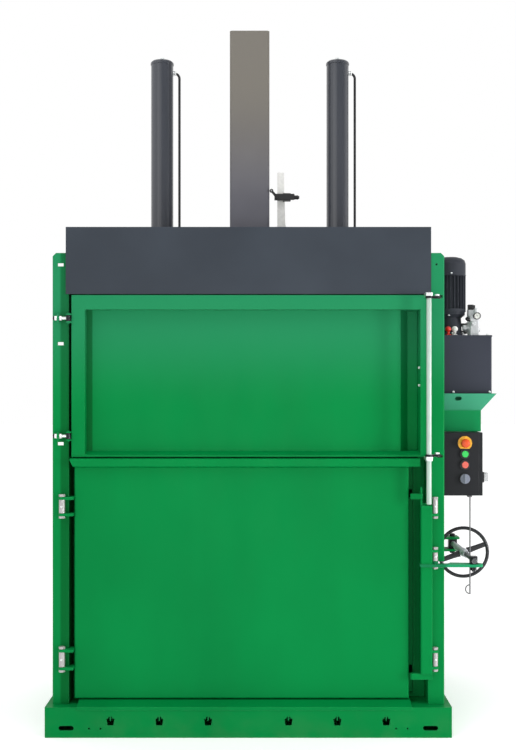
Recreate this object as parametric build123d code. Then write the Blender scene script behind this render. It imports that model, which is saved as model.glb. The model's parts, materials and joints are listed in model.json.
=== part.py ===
from build123d import *
import math
import os

os.makedirs("parts", exist_ok=True)

# Upright baler for cardboard and film. Millimetres, +Z up, the front is -Y.
# The origin is the middle of the base's underside.

# Base
BASE_WIDTH = 1774.0
BASE_DEPTH = 1150.0
BASE_HEIGHT = 132.0
BASE_WALL = 6.0
SIDE_BEAM = 167.0
END_BEAM = 190.0
ANCHOR_RADIUS = 9.0
ANCHOR_INSET_X = 27.0
ANCHOR_INSET_Y = 135.0
FORK_SLOT_LENGTH = 66.0
FORK_SLOT_HEIGHT = 20.0
FORK_SLOT_INSET = 94.0
FORK_SLOT_HEIGHT_ABOVE_FLOOR = 42.0
BASE_FRONT = -BASE_DEPTH / 2

# Chamber
CHAMBER_WIDTH = 1476.0
CHAMBER_FRONT = BASE_FRONT + 175.0
CHAMBER_BACK = BASE_DEPTH / 2 - 185.0
WALL = 8.0
FLOOR_THICKNESS = 18.0
STRAP_FIRST = 175.0
STRAP_PITCH = 212.5
GROOVE_WIDTH = 28.0
GROOVE_WALL = 5.0
FLOOR_GROOVE_DEPTH = 78.0
WALL_GROOVE_DEPTH = 36.0
NOTCH_WIDTH = 36.0
NOTCH_HEIGHT = 40.0
NOTCH_Z = 74.0
DOOR_BOTTOM = 156.0
DOOR_TOP = 1177.0

# Columns
COLUMN_SETBACK = 52.0
COLUMN_FACE = BASE_FRONT + COLUMN_SETBACK
COLUMN_INNER = 790.0
COLUMN_OUTER = 862.0
COLUMN_TOP = 2116.0
COLUMN_RETURN = 48.0
COLUMN_CHAMFER = 16.0
RIB_DEPTH = 54.0
RIB_HEIGHT = 80.0
RIB_SHEET = 5.0
RIB_HEIGHTS = (240.0, 560.0, 920.0, 1240.0, 1580.0, 1900.0)

# Upper gate
GATE_BOTTOM = DOOR_TOP + 42.0
GATE_TOP = 1930.0
GATE_LEFT = -777.0
GATE_RIGHT = 784.0
GATE_FRONT = COLUMN_FACE - 7.0
GATE_STILE_LEFT = 58.0
GATE_STILE_RIGHT = 28.4
GATE_TOP_RAIL = 63.0
GATE_BOTTOM_RAIL = 9.0
GATE_BOTTOM_SLOPE = 15.0
GATE_PANEL_FRONT = GATE_FRONT + 45.0
GATE_PANEL_DEEP = CHAMBER_FRONT - 25.0
GATE_FOLD_START = 674.0
GATE_FOLD_END = 712.0
GATE_SHEET = 4.0
GATE_HINGE_X = -790.0
GATE_HINGE_Y = COLUMN_FACE - 11.5
GATE_HINGE_HEIGHTS = (GATE_BOTTOM + 92.0, GATE_TOP - 102.0)
GATE_LUG_X = (-838.0, -830.0)
EYE_SHANK = 7.5
EYE_RADIUS = 11.0
EYE_PIN = 5.0

# Lower door
DOOR_LEFT = -766.0
DOOR_RIGHT = 706.0
DOOR_FRONT = COLUMN_FACE + 3.0
DOOR_SHEET = 4.0
DOOR_FLANGE_EDGE = 744.0
DOOR_FLANGE_LIP = 20.0
DOOR_SIDE_TAPER = 7.0
LIP_FRONT = COLUMN_FACE - 25.0
LIP_LEFT = -783.0
LIP_RIGHT = 752.0
LIP_HEIGHT = 36.0
LIP_RISE = 3.0
LIP_MITRE = 15.0
DOOR_HINGE_X = -817.0
DOOR_HINGE_Y = COLUMN_FACE - 17.0
DOOR_HINGE_SPANS = (
    (DOOR_BOTTOM + 145.0, DOOR_BOTTOM + 210.0),
    (DOOR_TOP - 203.0, DOOR_TOP - 144.0),
)
HINGE_PLATE = 12.0
HINGE_GAP = 0.4
HINGE_HEAD = 10.0
HINGE_PIN_RADIUS = 8.0
HINGE_SLEEVE_RADIUS = 13.0

# Lock of the lower door
BEAM_AXIS_X = 819.0
BEAM_AXIS_Y = DOOR_HINGE_Y
BEAM_LEFT = 754.0
BEAM_RIGHT = 805.0
BEAM_FRONT = COLUMN_FACE - 33.0
BEAM_BACK = COLUMN_FACE - 5.0
BEAM_BOTTOM = DOOR_BOTTOM + 116.0
BEAM_TOP = DOOR_TOP - 169.0
ARM_TOP = 752.0
BEAM_TUBE_WALL = 5.0
BEAM_KNUCKLE_SPANS = (
    (DOOR_BOTTOM + 148.0, DOOR_BOTTOM + 207.0),
    (ARM_TOP + 13.0, ARM_TOP + 50.0),
    (DOOR_TOP - 204.0, DOOR_TOP - 143.0),
)
BEAM_SLEEVE_RADIUS = 11.0
BEAM_PIN_RADIUS = 7.0
BEAM_SWING_DEG = 25.0
CLAW_TIP = 710.0
CLAW_THICKNESS = 24.0
UPPER_CLAW_Z = DOOR_TOP - 142.0
ARM_THICKNESS = 12.0
SPINDLE_X = COLUMN_OUTER + 124.0
SPINDLE_Z = ARM_TOP + 15.0
SPINDLE_RADIUS = 15.5
SPINDLE_FRONT_RADIUS = 10.0
SPINDLE_THREAD_RADIUS = 12.0
SWIVEL_PIN = 7.0
SLOT_CLEARANCE = 2.4
SWIVEL_HALF = 16.0
WHEEL_Y = CHAMBER_FRONT + 101.0
SPINDLE_STEP = WHEEL_Y + 187.0
TRUNNION_Y = (WHEEL_Y + 269.0, WHEEL_Y + 309.0)
FORK_PLATE_HALF = 70.0
WHEEL_RADIUS = 119.0
WHEEL_RIM = 8.0

# Gate lock bar
BAR_X = 786.0
BAR_Y = COLUMN_FACE - 52.0
BAR_RADIUS = 11.0
BAR_BOTTOM = DOOR_TOP - 162.0
BAR_TOP = GATE_TOP + 7.0
BAR_GUIDE_HEIGHTS = (GATE_BOTTOM - 3.0, GATE_TOP - 1.0)

# Press
CROSS_HEAD_BOTTOM = 2080.0
CROSS_HEAD_HEIGHT = 140.0
CROSS_HEAD_GAP = 250.0
CROSS_HEAD_FLANGE = 70.0
PLATEN_Z = 1955.0
PLATEN_THICKNESS = 20.0
PLATEN_RIB_HEIGHT = 80.0
PLATEN_CLEARANCE = 9.0
GUIDE_SIZE = 190.0
GUIDE_TOP = 3234.0
GUIDE_WALL = 8.0
GUIDE_CORNER = 14.0
SLEEVE_SIZE = 250.0
SLEEVE_WALL = 12.0
PAD_CLEARANCE = 0.3
CYLINDER_X = 427.5
CYLINDER_TOP = 3112.0
BARREL_RADIUS = 54.0
BARREL_BORE = 45.0
BARREL_FOOT = 68.0
ROD_RADIUS = 25.0
RUNNING_CLEARANCE = 0.05
GLAND_HEIGHT = 36.0
PIPE_RADIUS = 6.0
PIPE_DROP_X = 84.0
PIPE_OUTLET_Z = CYLINDER_TOP - 56.0
PIPE_BEND = 26.0
FEED_RADIUS = 9.0
FEED_BEND = 40.0
FEED_OUTLET = 54.0

# Cover over the cross head
COVER_HALF_WIDTH = 803.0
COVER_BOTTOM = 1935.0
COVER_TOP = 2230.0
COVER_SHEET = 3.0
FEED_RISER_X = COVER_HALF_WIDTH + 22.0
FEED_TOP = COLUMN_TOP + FEED_OUTLET
COVER_BACK = CHAMBER_BACK + WALL

# Power unit on the right side
TANK_LEFT = COLUMN_OUTER + 4.0
TANK_WIDTH = 254.0
TANK_RIGHT = TANK_LEFT + TANK_WIDTH
TANK_FRONT = CHAMBER_FRONT + 110.0
TANK_BACK = TANK_FRONT + 350.0
TANK_BOTTOM = 1490.0
TANK_TOP = TANK_BOTTOM + 276.0
MOTOR_X = TANK_LEFT + 90.0
MOTOR_Y = TANK_FRONT + 175.0
MOTOR_RADIUS = 74.0
MOTOR_BOTTOM = TANK_TOP + 118.0
MOTOR_TOP = MOTOR_BOTTOM + 168.0
FAN_COVER_TOP = MOTOR_TOP + 90.0
MOTOR_FINS = 26
TRAY_FRONT = TANK_FRONT + 15.0
TRAY_RIGHT = TANK_RIGHT - 48.0
TRAY_BOTTOM = TANK_BOTTOM - 169.0
TRAY_BEND = TANK_BOTTOM - 72.0
TRAY_TOP = TANK_BOTTOM + 7.0
TRAY_FLARE = 60.0
TRAY_SHEET = 4.0

# Control box on the right side
BOX_LEFT = COLUMN_OUTER + 8.0
BOX_RIGHT = BOX_LEFT + 190.0
BOX_FRONT = CHAMBER_FRONT + 25.0
BOX_BACK = BOX_FRONT + 160.0
BOX_TOP = TRAY_BOTTOM - 1.0
BOX_BOTTOM = BOX_TOP - 286.0
BOX_WALL = 3.0
BOX_LID = 12.0
BUTTON_X = BOX_LEFT + 109.0
BUTTON_RADIUS = 15.0
BUTTON_RECESS = 15.4
RING_RADIUS = 22.0
STOP_COLLAR_RADIUS = 32.0
STOP_Z = BOX_TOP - 48.0
START_Z = STOP_Z - 49.0
RESET_Z = START_Z - 49.0
MODE_Z = RESET_Z - 63.0
SIDE_SWITCH_Y = BOX_FRONT + 60.0
CARRIER_FRONT = BOX_FRONT + 60.0
CARRIER_SHEET = 6.0
SIDE_SWITCH_Z = MODE_Z + 3.0
BUTTON_CLEARANCE = 0.4
STEM_RADIUS = 9.0
SIDE_SHAFT = 8.0

# Strap needle under the control box
NEEDLE_X = 1001.5
NEEDLE_Y = BOX_FRONT - 4.0
NEEDLE_TIP = 589.0

# Limit switch beside the guide column
SWITCH_Y = -60.0
SWITCH_ARM_Z = COVER_TOP + 210.0
BRACKET_WIDTH = 54.0
BRACKET_BEND = 90.0
BRACKET_HEIGHT = 330.0
BRACKET_SHEET = 4.0
ROLLER_RADIUS = 9.0

# Places worked out from the sizes above
FLOOR_TOP = BASE_HEIGHT + FLOOR_THICKNESS
CHAMBER_HALF = CHAMBER_WIDTH / 2
WALL_OUTER = CHAMBER_HALF + WALL
STRAP_RIGHT = [STRAP_FIRST + i * STRAP_PITCH for i in range(3)]
STRAP_PLACES = sorted([-place for place in STRAP_RIGHT] + STRAP_RIGHT)


def block(x, y, z):
    """A box given by its low and high place along each axis."""
    size = (x[1] - x[0], y[1] - y[0], z[1] - z[0])
    centre = ((x[0] + x[1]) / 2, (y[0] + y[1]) / 2, (z[0] + z[1]) / 2)
    return Pos(*centre) * Box(*size)


def upright(x, y, radius, z0, z1):
    """A round bar along Z between two heights."""
    return Pos(x, y, (z0 + z1) / 2) * Cylinder(radius, z1 - z0)


def along_x(x0, x1, y, z, radius):
    """A round bar along X."""
    return Pos((x0 + x1) / 2, y, z) * Rot(0, 90, 0) * Cylinder(radius, x1 - x0)


def along_y(x, y0, y1, z, radius):
    """A round bar along Y."""
    return Pos(x, (y0 + y1) / 2, z) * Rot(90, 0, 0) * Cylinder(radius, y1 - y0)


def hexagon_x(x0, x1, y, z, across):
    """A nut with its axis along X."""
    blank = extrude(Plane.YZ * RegularPolygon(across / math.sqrt(3), 6), x1 - x0)
    return Pos(x0, y, z) * blank


def hexagon_y(x, y0, y1, z, across):
    """A nut with its axis along Y."""
    blank = extrude(Plane.XZ * RegularPolygon(across / math.sqrt(3), 6), -(y1 - y0))
    return Pos(x, y0, z) * blank


def hexagon_z(x, y, z0, z1, across):
    """A nut with its axis along Z."""
    blank = extrude(Plane.XY * RegularPolygon(across / math.sqrt(3), 6), z1 - z0)
    return Pos(x, y, z0) * blank


def plan(points, z0, z1):
    """A plate whose outline is given from above."""
    face = make_face(Polyline(*[(x, y, z0) for x, y in points], close=True))
    return extrude(face, amount=z1 - z0, dir=(0, 0, 1))


def section_x(points, x0, x1):
    """A bar along X whose outline is given in Y and Z."""
    face = make_face(Polyline(*[(x0, y, z) for y, z in points], close=True))
    return extrude(face, amount=x1 - x0, dir=(1, 0, 0))


def mirrored(shape):
    """The same piece on the other side of the machine."""
    return mirror(shape, about=Plane.YZ)


def grooved_profile(half, sheet, depth):
    """Points of a sheet along u with strap grooves that hang to -depth; its face is v = 0."""
    face = [(-half, 0.0)]
    back = [(-half, -sheet)]
    inner = GROOVE_WIDTH / 2
    outer = inner + GROOVE_WALL
    for place in STRAP_PLACES:
        face += [(place - inner, 0.0), (place - inner, -depth)]
        face += [(place + inner, -depth), (place + inner, 0.0)]
        back += [(place - outer, -sheet), (place - outer, -depth - GROOVE_WALL)]
        back += [(place + outer, -depth - GROOVE_WALL), (place + outer, -sheet)]
    face.append((half, 0.0))
    back.append((half, -sheet))
    return face + back[::-1]


def save(node, *solids):
    """Write one node as a STEP file."""
    shape = solids[0] if len(solids) == 1 else Compound(children=list(solids))
    if isinstance(shape, ShapeList):
        shape = Compound(children=list(shape))
    export_step(shape, f"parts/{node}.step")


# Base with strap notches, fork slots and anchor holes

def strap_notch(place):
    """The crown-shaped strap opening, cut through an end beam."""
    half = NOTCH_WIDTH / 2
    top = NOTCH_Z + NOTCH_HEIGHT / 2
    low = NOTCH_Z - NOTCH_HEIGHT / 2
    shoulder = top - 10
    tip = shoulder - 9
    right_side = [
        (2.0, tip),
        (2.5, top - 3),
        (6.0, top),
        (11.0, shoulder - 2),
        (half, shoulder),
        (half - 5, low),
    ]
    outline = [(place + x, z) for x, z in right_side]
    outline += [(place - x, z) for x, z in reversed(right_side)]
    start = BASE_FRONT - 1
    face = make_face(Polyline(*[(x, start, z) for x, z in outline], close=True))
    return extrude(face, amount=BASE_DEPTH + 2, dir=(0, 1, 0))


def base_frame():
    """Hollow ring of four beams with strap notches, fork slots and anchor holes."""
    half_x = BASE_WIDTH / 2
    half_y = BASE_DEPTH / 2
    well_x = half_x - SIDE_BEAM
    well_y = half_y - END_BEAM
    ring = block((-half_x, half_x), (-half_y, half_y), (0, BASE_HEIGHT))
    ring = fillet(ring.edges().filter_by(Axis.Z), 6)
    ring -= block((-well_x, well_x), (-well_y, well_y), (-1, BASE_HEIGHT + 1))
    hollow = block(
        (-half_x + BASE_WALL, half_x - BASE_WALL),
        (-half_y + BASE_WALL, half_y - BASE_WALL),
        (BASE_WALL, BASE_HEIGHT - BASE_WALL),
    )
    hollow -= block(
        (-well_x - BASE_WALL, well_x + BASE_WALL),
        (-well_y - BASE_WALL, well_y + BASE_WALL),
        (0, BASE_HEIGHT),
    )
    ring -= hollow
    for place in STRAP_PLACES:
        ring -= strap_notch(place)
    slot_x = half_x - FORK_SLOT_INSET
    for side in (-1, 1):
        oval = SlotOverall(FORK_SLOT_LENGTH, FORK_SLOT_HEIGHT)
        cut = extrude(Plane.XZ * oval, BASE_WALL * 2, both=True)
        ring -= Pos(side * slot_x, -half_y, FORK_SLOT_HEIGHT_ABOVE_FLOOR) * cut
        ring -= Pos(side * slot_x, half_y, FORK_SLOT_HEIGHT_ABOVE_FLOOR) * cut
        for inward in (100, 150):
            ring -= along_y(side * (slot_x - inward), -half_y - 1, -half_y + 8, 40, 4)
        for end in (-1, 1):
            x = side * (half_x - ANCHOR_INSET_X)
            y = end * (BASE_DEPTH / 2 - ANCHOR_INSET_Y)
            ring -= upright(x, y, ANCHOR_RADIUS, -1, BASE_HEIGHT + 1)
    sill = [
        (BASE_FRONT - 3, BASE_HEIGHT - 12),
        (BASE_FRONT, BASE_HEIGHT - 12),
        (BASE_FRONT, BASE_HEIGHT),
        (CHAMBER_FRONT - 10, BASE_HEIGHT),
        (CHAMBER_FRONT - 10, BASE_HEIGHT + 18),
        (BASE_FRONT + 60, BASE_HEIGHT + 18),
        (BASE_FRONT - 3, BASE_HEIGHT + 3),
    ]
    ring += section_x(sill, DOOR_LEFT + 20, DOOR_RIGHT + 6)
    return ring


def chamber_floor():
    """Floor sheet whose six strap grooves hang into the base."""
    half = CHAMBER_HALF
    points = grooved_profile(half, FLOOR_THICKNESS, FLOOR_GROOVE_DEPTH + FLOOR_THICKNESS)
    well_y = BASE_DEPTH / 2 - END_BEAM
    start = -well_y + 0.3
    face = make_face(Polyline(*[(x, start, FLOOR_TOP + z) for x, z in points], close=True))
    floor = extrude(face, amount=2 * (well_y - 0.3), dir=(0, 1, 0))
    ends = [(CHAMBER_FRONT, start), (well_y - 0.3, CHAMBER_BACK)]
    for y in ends:
        apron = block((-half, half), y, (BASE_HEIGHT, FLOOR_TOP))
        for place in STRAP_PLACES:
            inner = GROOVE_WIDTH / 2
            groove = (place - inner, place + inner)
            apron -= block(groove, (y[0] - 1, y[1] + 1), (BASE_HEIGHT + 6, FLOOR_TOP + 1))
        floor += apron
    return floor


# Walls, ribs and columns

def side_wall():
    """Right side wall, plain sheet from the base to the column tops."""
    return block(
        (CHAMBER_HALF, WALL_OUTER),
        (CHAMBER_FRONT + WALL, CHAMBER_BACK + WALL),
        (BASE_HEIGHT, COLUMN_TOP),
    )


def rear_wall():
    """Rear wall with the same strap grooves as the floor, running upwards."""
    points = grooved_profile(CHAMBER_HALF, WALL, WALL_GROOVE_DEPTH)
    outline = [(x, CHAMBER_BACK - y) for x, y in points]
    return plan(outline, BASE_HEIGHT, COLUMN_TOP)


def channel_rib(z):
    """One folded channel welded across the outside of the right side wall."""
    sheet = RIB_SHEET
    y = (CHAMBER_FRONT + 30, CHAMBER_BACK)
    outer = WALL_OUTER + RIB_DEPTH
    rib = block((WALL_OUTER, outer), y, (z - RIB_HEIGHT / 2, z + RIB_HEIGHT / 2))
    rib = fillet(rib.edges().filter_by(Axis.Y).sort_by(Axis.X)[-2:], 8)
    rib -= block(
        (WALL_OUTER - 1, outer - sheet),
        (y[0] - 1, y[1] + 1),
        (z - RIB_HEIGHT / 2 + sheet, z + RIB_HEIGHT / 2 - sheet),
    )
    return rib


def rear_band(z):
    """One channel across the rear wall, over the backs of the grooves."""
    sheet = RIB_SHEET
    y0 = CHAMBER_BACK + WALL_GROOVE_DEPTH + GROOVE_WALL
    y1 = y0 + RIB_DEPTH
    band = block((-CHAMBER_HALF, CHAMBER_HALF), (y0, y1), (z - RIB_HEIGHT / 2, z + RIB_HEIGHT / 2))
    band = fillet(band.edges().filter_by(Axis.X).sort_by(Axis.Y)[-2:], 8)
    band -= block(
        (-CHAMBER_HALF - 1, CHAMBER_HALF + 1),
        (y0 - 1, y1 - sheet),
        (z - RIB_HEIGHT / 2 + sheet, z + RIB_HEIGHT / 2 - sheet),
    )
    return band


def column_blank():
    """Right front column: jamb strip, web, front flange and outer return in one folded sheet."""
    y_web = CHAMBER_FRONT
    y_back = CHAMBER_FRONT + WALL
    outline = [
        (CHAMBER_HALF, y_web),
        (COLUMN_INNER, y_web),
        (COLUMN_INNER, COLUMN_FACE),
        (COLUMN_OUTER - 5, COLUMN_FACE),
        (COLUMN_OUTER, COLUMN_FACE + 5),
        (COLUMN_OUTER, COLUMN_FACE + COLUMN_RETURN),
        (COLUMN_OUTER - WALL, COLUMN_FACE + COLUMN_RETURN),
        (COLUMN_OUTER - WALL, COLUMN_FACE + WALL),
        (COLUMN_INNER + WALL, COLUMN_FACE + WALL),
        (COLUMN_INNER + WALL, y_back),
        (CHAMBER_HALF, y_back),
    ]
    column = plan(outline, BASE_HEIGHT, COLUMN_TOP)
    corner = make_face(Polyline(
        (COLUMN_OUTER - COLUMN_CHAMFER, COLUMN_FACE - 1, COLUMN_TOP),
        (COLUMN_OUTER + 1, COLUMN_FACE - 1, COLUMN_TOP + 1),
        (COLUMN_OUTER + 1, COLUMN_FACE - 1, COLUMN_TOP - COLUMN_CHAMFER),
        close=True,
    ))
    return column - extrude(corner, amount=COLUMN_RETURN + 4, dir=(0, 1, 0))


def flange_slot(x, z, width, height):
    """A slot through the front flange of a column."""
    y = (COLUMN_FACE - 1, COLUMN_FACE + WALL + 1)
    return block((x - width / 2, x + width / 2), y, (z - height / 2, z + height / 2))


def left_column():
    """Folded column with three see-through slots and the lugs of the gate's hinge."""
    column = mirrored(column_blank())
    for z in (2064.0, 1717.0, 1277.0):
        column -= flange_slot(-826.0, z, 26.0, 14.0)
    for z in GATE_HINGE_HEIGHTS:
        column += gate_lug(z)
    return column


def gate_lug(z):
    """Plate that stands forward of the left column and holds an eye bolt."""
    lug = block(GATE_LUG_X, (GATE_HINGE_Y - 15, COLUMN_FACE), (z - 18, z + 18))
    return lug - along_x(GATE_LUG_X[0] - 1, GATE_LUG_X[1] + 1, GATE_HINGE_Y, z, EYE_SHANK + 0.4)


def right_column():
    """Folded column with three slots and the opening that the lever arm swings in."""
    column = column_blank()
    column -= flange_slot(841.0, 1925.0, 26.0, 12.0)
    column -= flange_slot(841.0, 1222.0, 26.0, 12.0)
    column -= flange_slot(827.0, 2066.0, 8.0, 8.0)
    opening = (ARM_TOP - ARM_THICKNESS - 8, ARM_TOP + 8)
    y = (COLUMN_FACE - 1, COLUMN_FACE + COLUMN_RETURN + 1)
    column -= block((BEAM_AXIS_X - 4, COLUMN_OUTER + 1), y, opening)
    return column


def front_header():
    """Plate that closes the front between the gate's top and the column tops."""
    return block(
        (-CHAMBER_HALF, CHAMBER_HALF),
        (CHAMBER_FRONT, CHAMBER_FRONT + WALL),
        (COVER_BOTTOM, COLUMN_TOP),
    )


# Cross head, cylinders and guide

def cross_head():
    """Two channels between the side walls, tied by the cylinders' seat plates and the guide sleeve."""
    z0 = CROSS_HEAD_BOTTOM
    z1 = z0 + CROSS_HEAD_HEIGHT
    inner = CROSS_HEAD_GAP / 2
    outer = inner + CROSS_HEAD_FLANGE
    web = 10.0
    channel = block((-CHAMBER_HALF, CHAMBER_HALF), (inner, outer), (z0, z1))
    channel -= block((-CHAMBER_HALF - 1, CHAMBER_HALF + 1), (inner + web, outer + 1), (z0 + web, z1 - web))
    head = channel + mirror(channel, about=Plane.XZ)
    for side in (-1, 1):
        x = side * CYLINDER_X
        head += block((x - 105, x + 105), (-inner, inner), (z0, z0 + 20))
        head -= upright(x, 0, BARREL_BORE + 2, z0 - 1, z0 + 21)
    half = SLEEVE_SIZE / 2
    opening = half - SLEEVE_WALL
    head += block((-half, half), (-half, half), (z0, z1))
    return head - block((-opening, opening), (-opening, opening), (z0 - 1, z1 + 1))


def barrel(side):
    """Cylinder tube with its closed end, gland and foot flange."""
    x = side * CYLINDER_X
    seat = CROSS_HEAD_BOTTOM + 20
    profile = [
        (ROD_RADIUS + RUNNING_CLEARANCE, seat),
        (BARREL_FOOT, seat),
        (BARREL_FOOT, seat + 18),
        (BARREL_RADIUS, seat + 18),
        (BARREL_RADIUS, CYLINDER_TOP - 5),
        (BARREL_RADIUS - 5, CYLINDER_TOP),
        (12.0, CYLINDER_TOP),
        (12.0, CYLINDER_TOP + 12),
        (0.0, CYLINDER_TOP + 12),
        (0.0, CYLINDER_TOP - 24),
        (BARREL_BORE, CYLINDER_TOP - 24),
        (BARREL_BORE, seat + GLAND_HEIGHT),
        (ROD_RADIUS + RUNNING_CLEARANCE, seat + GLAND_HEIGHT),
    ]
    face = make_face(Polyline(*[(r, 0, z) for r, z in profile], close=True))
    return Pos(x, 0, 0) * revolve(face, Axis.Z)


def piston_rod(side):
    """Rod and piston of one cylinder, drawn in at rest."""
    x = side * CYLINDER_X
    top = CYLINDER_TOP - 30
    low = PLATEN_Z + PLATEN_THICKNESS + PLATEN_RIB_HEIGHT
    rod = upright(x, 0, ROD_RADIUS, low, top - 40)
    rod += upright(x, 0, BARREL_BORE - RUNNING_CLEARANCE, top - 40, top)
    return rod


def cylinder_pipe(side):
    """Steel pipe from the top of a cylinder down through the cover to a union on the cross head."""
    x = side * CYLINDER_X
    seat = CROSS_HEAD_BOTTOM + 20
    drop = x + PIPE_DROP_X
    start = (x + BARREL_RADIUS + 2, 0, PIPE_OUTLET_Z)
    points = [start, (drop, 0, PIPE_OUTLET_Z), (drop, 0, seat + 28)]
    pipe = tube(points, PIPE_BEND, PIPE_RADIUS, (1, 0, 0))
    nipple = along_x(x + BARREL_RADIUS - 4, x + BARREL_RADIUS + 10, 0, PIPE_OUTLET_Z, 11)
    nipple -= upright(x, 0, BARREL_RADIUS, PIPE_OUTLET_Z - 20, PIPE_OUTLET_Z + 20)
    union = hexagon_z(drop, 0, seat, seat + 30, 27)
    return pipe + nipple + union


def tube(points, bend, radius, direction):
    """A round bar that follows straight runs joined by bends."""
    path = FilletPolyline(*points, radius=bend)
    return sweep(Plane(origin=points[0], z_dir=direction) * Circle(radius), path=path)


def feed_pipe(x, y, z):
    """Steel pipe from the valve block's back, round behind the motor and up into the cover."""
    port = MOTOR_Y + 10
    side = COVER_HALF_WIDTH
    points = [
        (x, port + 8, z),
        (x, y, z),
        (FEED_RISER_X, y, z),
        (FEED_RISER_X, y, FEED_TOP),
        (side + 4, y, FEED_TOP),
    ]
    bend = min(FEED_BEND, (FEED_RISER_X - side - 4) * 0.95)
    line = tube(points, bend, FEED_RADIUS, (0, 1, 0))
    line += along_y(x, port, port + 20, z, FEED_RADIUS + 2)
    return line + along_x(side, side + 8, y, FEED_TOP, FEED_RADIUS + 2)


def guide_pads():
    """Four plastic strips inside the sleeve."""
    inner = SLEEVE_SIZE / 2 - SLEEVE_WALL
    face = GUIDE_SIZE / 2 + PAD_CLEARANCE
    half = GUIDE_SIZE / 2 - 18
    z = (CROSS_HEAD_BOTTOM + 4, CROSS_HEAD_BOTTOM + CROSS_HEAD_HEIGHT - 4)
    pads = []
    for side in (-1, 1):
        reach = sorted((side * face, side * inner))
        pads.append(block(reach, (-half, half), z))
        pads.append(block((-half, half), reach, z))
    return pads


def guide_column():
    """Square tube that rises with the press plate, closed by a cap."""
    low = PLATEN_Z + PLATEN_THICKNESS
    size = GUIDE_SIZE
    outer = extrude(Plane.XY * RectangleRounded(size, size, GUIDE_CORNER), GUIDE_TOP - low)
    inner_size = size - 2 * GUIDE_WALL
    hollow = extrude(
        Plane.XY * RectangleRounded(inner_size, inner_size, GUIDE_CORNER - GUIDE_WALL),
        GUIDE_TOP - low - GUIDE_WALL,
    )
    return Pos(0, 0, low) * (outer - hollow)


def press_plate():
    """Platen with a turned-up rim, long ribs and short ribs under the rods."""
    half_x = CHAMBER_HALF - PLATEN_CLEARANCE
    back = CHAMBER_BACK - PLATEN_CLEARANCE
    front = CHAMBER_FRONT + WALL + PLATEN_CLEARANCE
    z0 = PLATEN_Z
    z1 = z0 + PLATEN_THICKNESS
    top = z1 + PLATEN_RIB_HEIGHT
    plate = block((-half_x, half_x), (front, back), (z0, z1))
    plate = chamfer(plate.faces().sort_by(Axis.Z)[0].edges(), 8)
    rim = block((-half_x, half_x), (front, back), (z1, z1 + 45))
    rim -= block((-half_x + 10, half_x - 10), (front + 10, back - 10), (z1 - 1, z1 + 46))
    plate += rim
    half_guide = GUIDE_SIZE / 2
    for y in (-180.0, 180.0):
        plate += block((-half_x + 10, half_x - 10), (y - 6, y + 6), (z1, top))
    for x in (-650.0, -CYLINDER_X, -200.0, 200.0, CYLINDER_X, 650.0):
        plate += block((x - 6, x + 6), (front + 10, back - 10), (z1, z1 + 45))
        plate += block((x - 6, x + 6), (-180, 180), (z1, top - 20))
    for side in (-1, 1):
        x = side * CYLINDER_X
        plate += block((x - 55, x + 55), (-55, 55), (z1, top))
        plate += block(sorted((side * half_guide, side * 200)), (-6, 6), (z1, top - 20))
    return plate


def top_cover():
    """Sheet cover over the cross head: deep front, short sides and a top with cut-outs."""
    half = COVER_HALF_WIDTH
    front = COLUMN_FACE - 1 - COVER_SHEET
    low_side = COLUMN_TOP
    cover = block((-half, half), (front, COVER_BACK), (low_side, COVER_TOP))
    cover += block((-half, half), (front, front + COVER_SHEET), (COVER_BOTTOM, COVER_TOP))
    cover -= block(
        (-half + COVER_SHEET, half - COVER_SHEET),
        (front + COVER_SHEET, COVER_BACK - COVER_SHEET),
        (low_side - 1, COVER_TOP - COVER_SHEET),
    )
    guide_hole = GUIDE_SIZE / 2 + 6
    cover -= block((-guide_hole, guide_hole), (-guide_hole, guide_hole), (COVER_TOP - 10, COVER_TOP + 1))
    for side in (-1, 1):
        x = side * CYLINDER_X
        cover -= upright(x, 0, BARREL_RADIUS + 3, COVER_TOP - 10, COVER_TOP + 1)
        cover -= upright(x + PIPE_DROP_X, 0, PIPE_RADIUS + 3, COVER_TOP - 10, COVER_TOP + 1)
    return cover


# Limit switch beside the guide column

def switch_bracket():
    """Bent sheet on the cover top that carries the limit switch."""
    x0 = GUIDE_SIZE / 2 + 38
    foot = COVER_TOP
    outline = [
        (x0, foot), (x0 + BRACKET_WIDTH, foot), (x0 + 38, foot + BRACKET_BEND),
        (x0 + 32, foot + BRACKET_HEIGHT), (x0, foot + BRACKET_HEIGHT),
    ]
    face = make_face(Polyline(*[(x, SWITCH_Y - 2, z) for x, z in outline], close=True))
    sheet = extrude(face, amount=BRACKET_SHEET, dir=(0, 1, 0))
    base = block((x0, x0 + BRACKET_WIDTH), (SWITCH_Y - 2, SWITCH_Y + 34), (foot, foot + BRACKET_SHEET))
    return sheet + base


def switch_body():
    """Limit switch housing with its head and cable gland."""
    x0 = GUIDE_SIZE / 2 + 40
    y = (SWITCH_Y - 32, SWITCH_Y - 2)
    body = block((x0 + 24, x0 + 62), y, (SWITCH_ARM_Z - 20, SWITCH_ARM_Z + 16))
    body = fillet(body.edges().filter_by(Axis.Y), 3)
    body += block((x0 - 16, x0 + 24), y, (SWITCH_ARM_Z - 14, SWITCH_ARM_Z + 10))
    body += along_x(x0 + 62, x0 + 84, SWITCH_Y - 17, SWITCH_ARM_Z - 2, 10)
    return body


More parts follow.
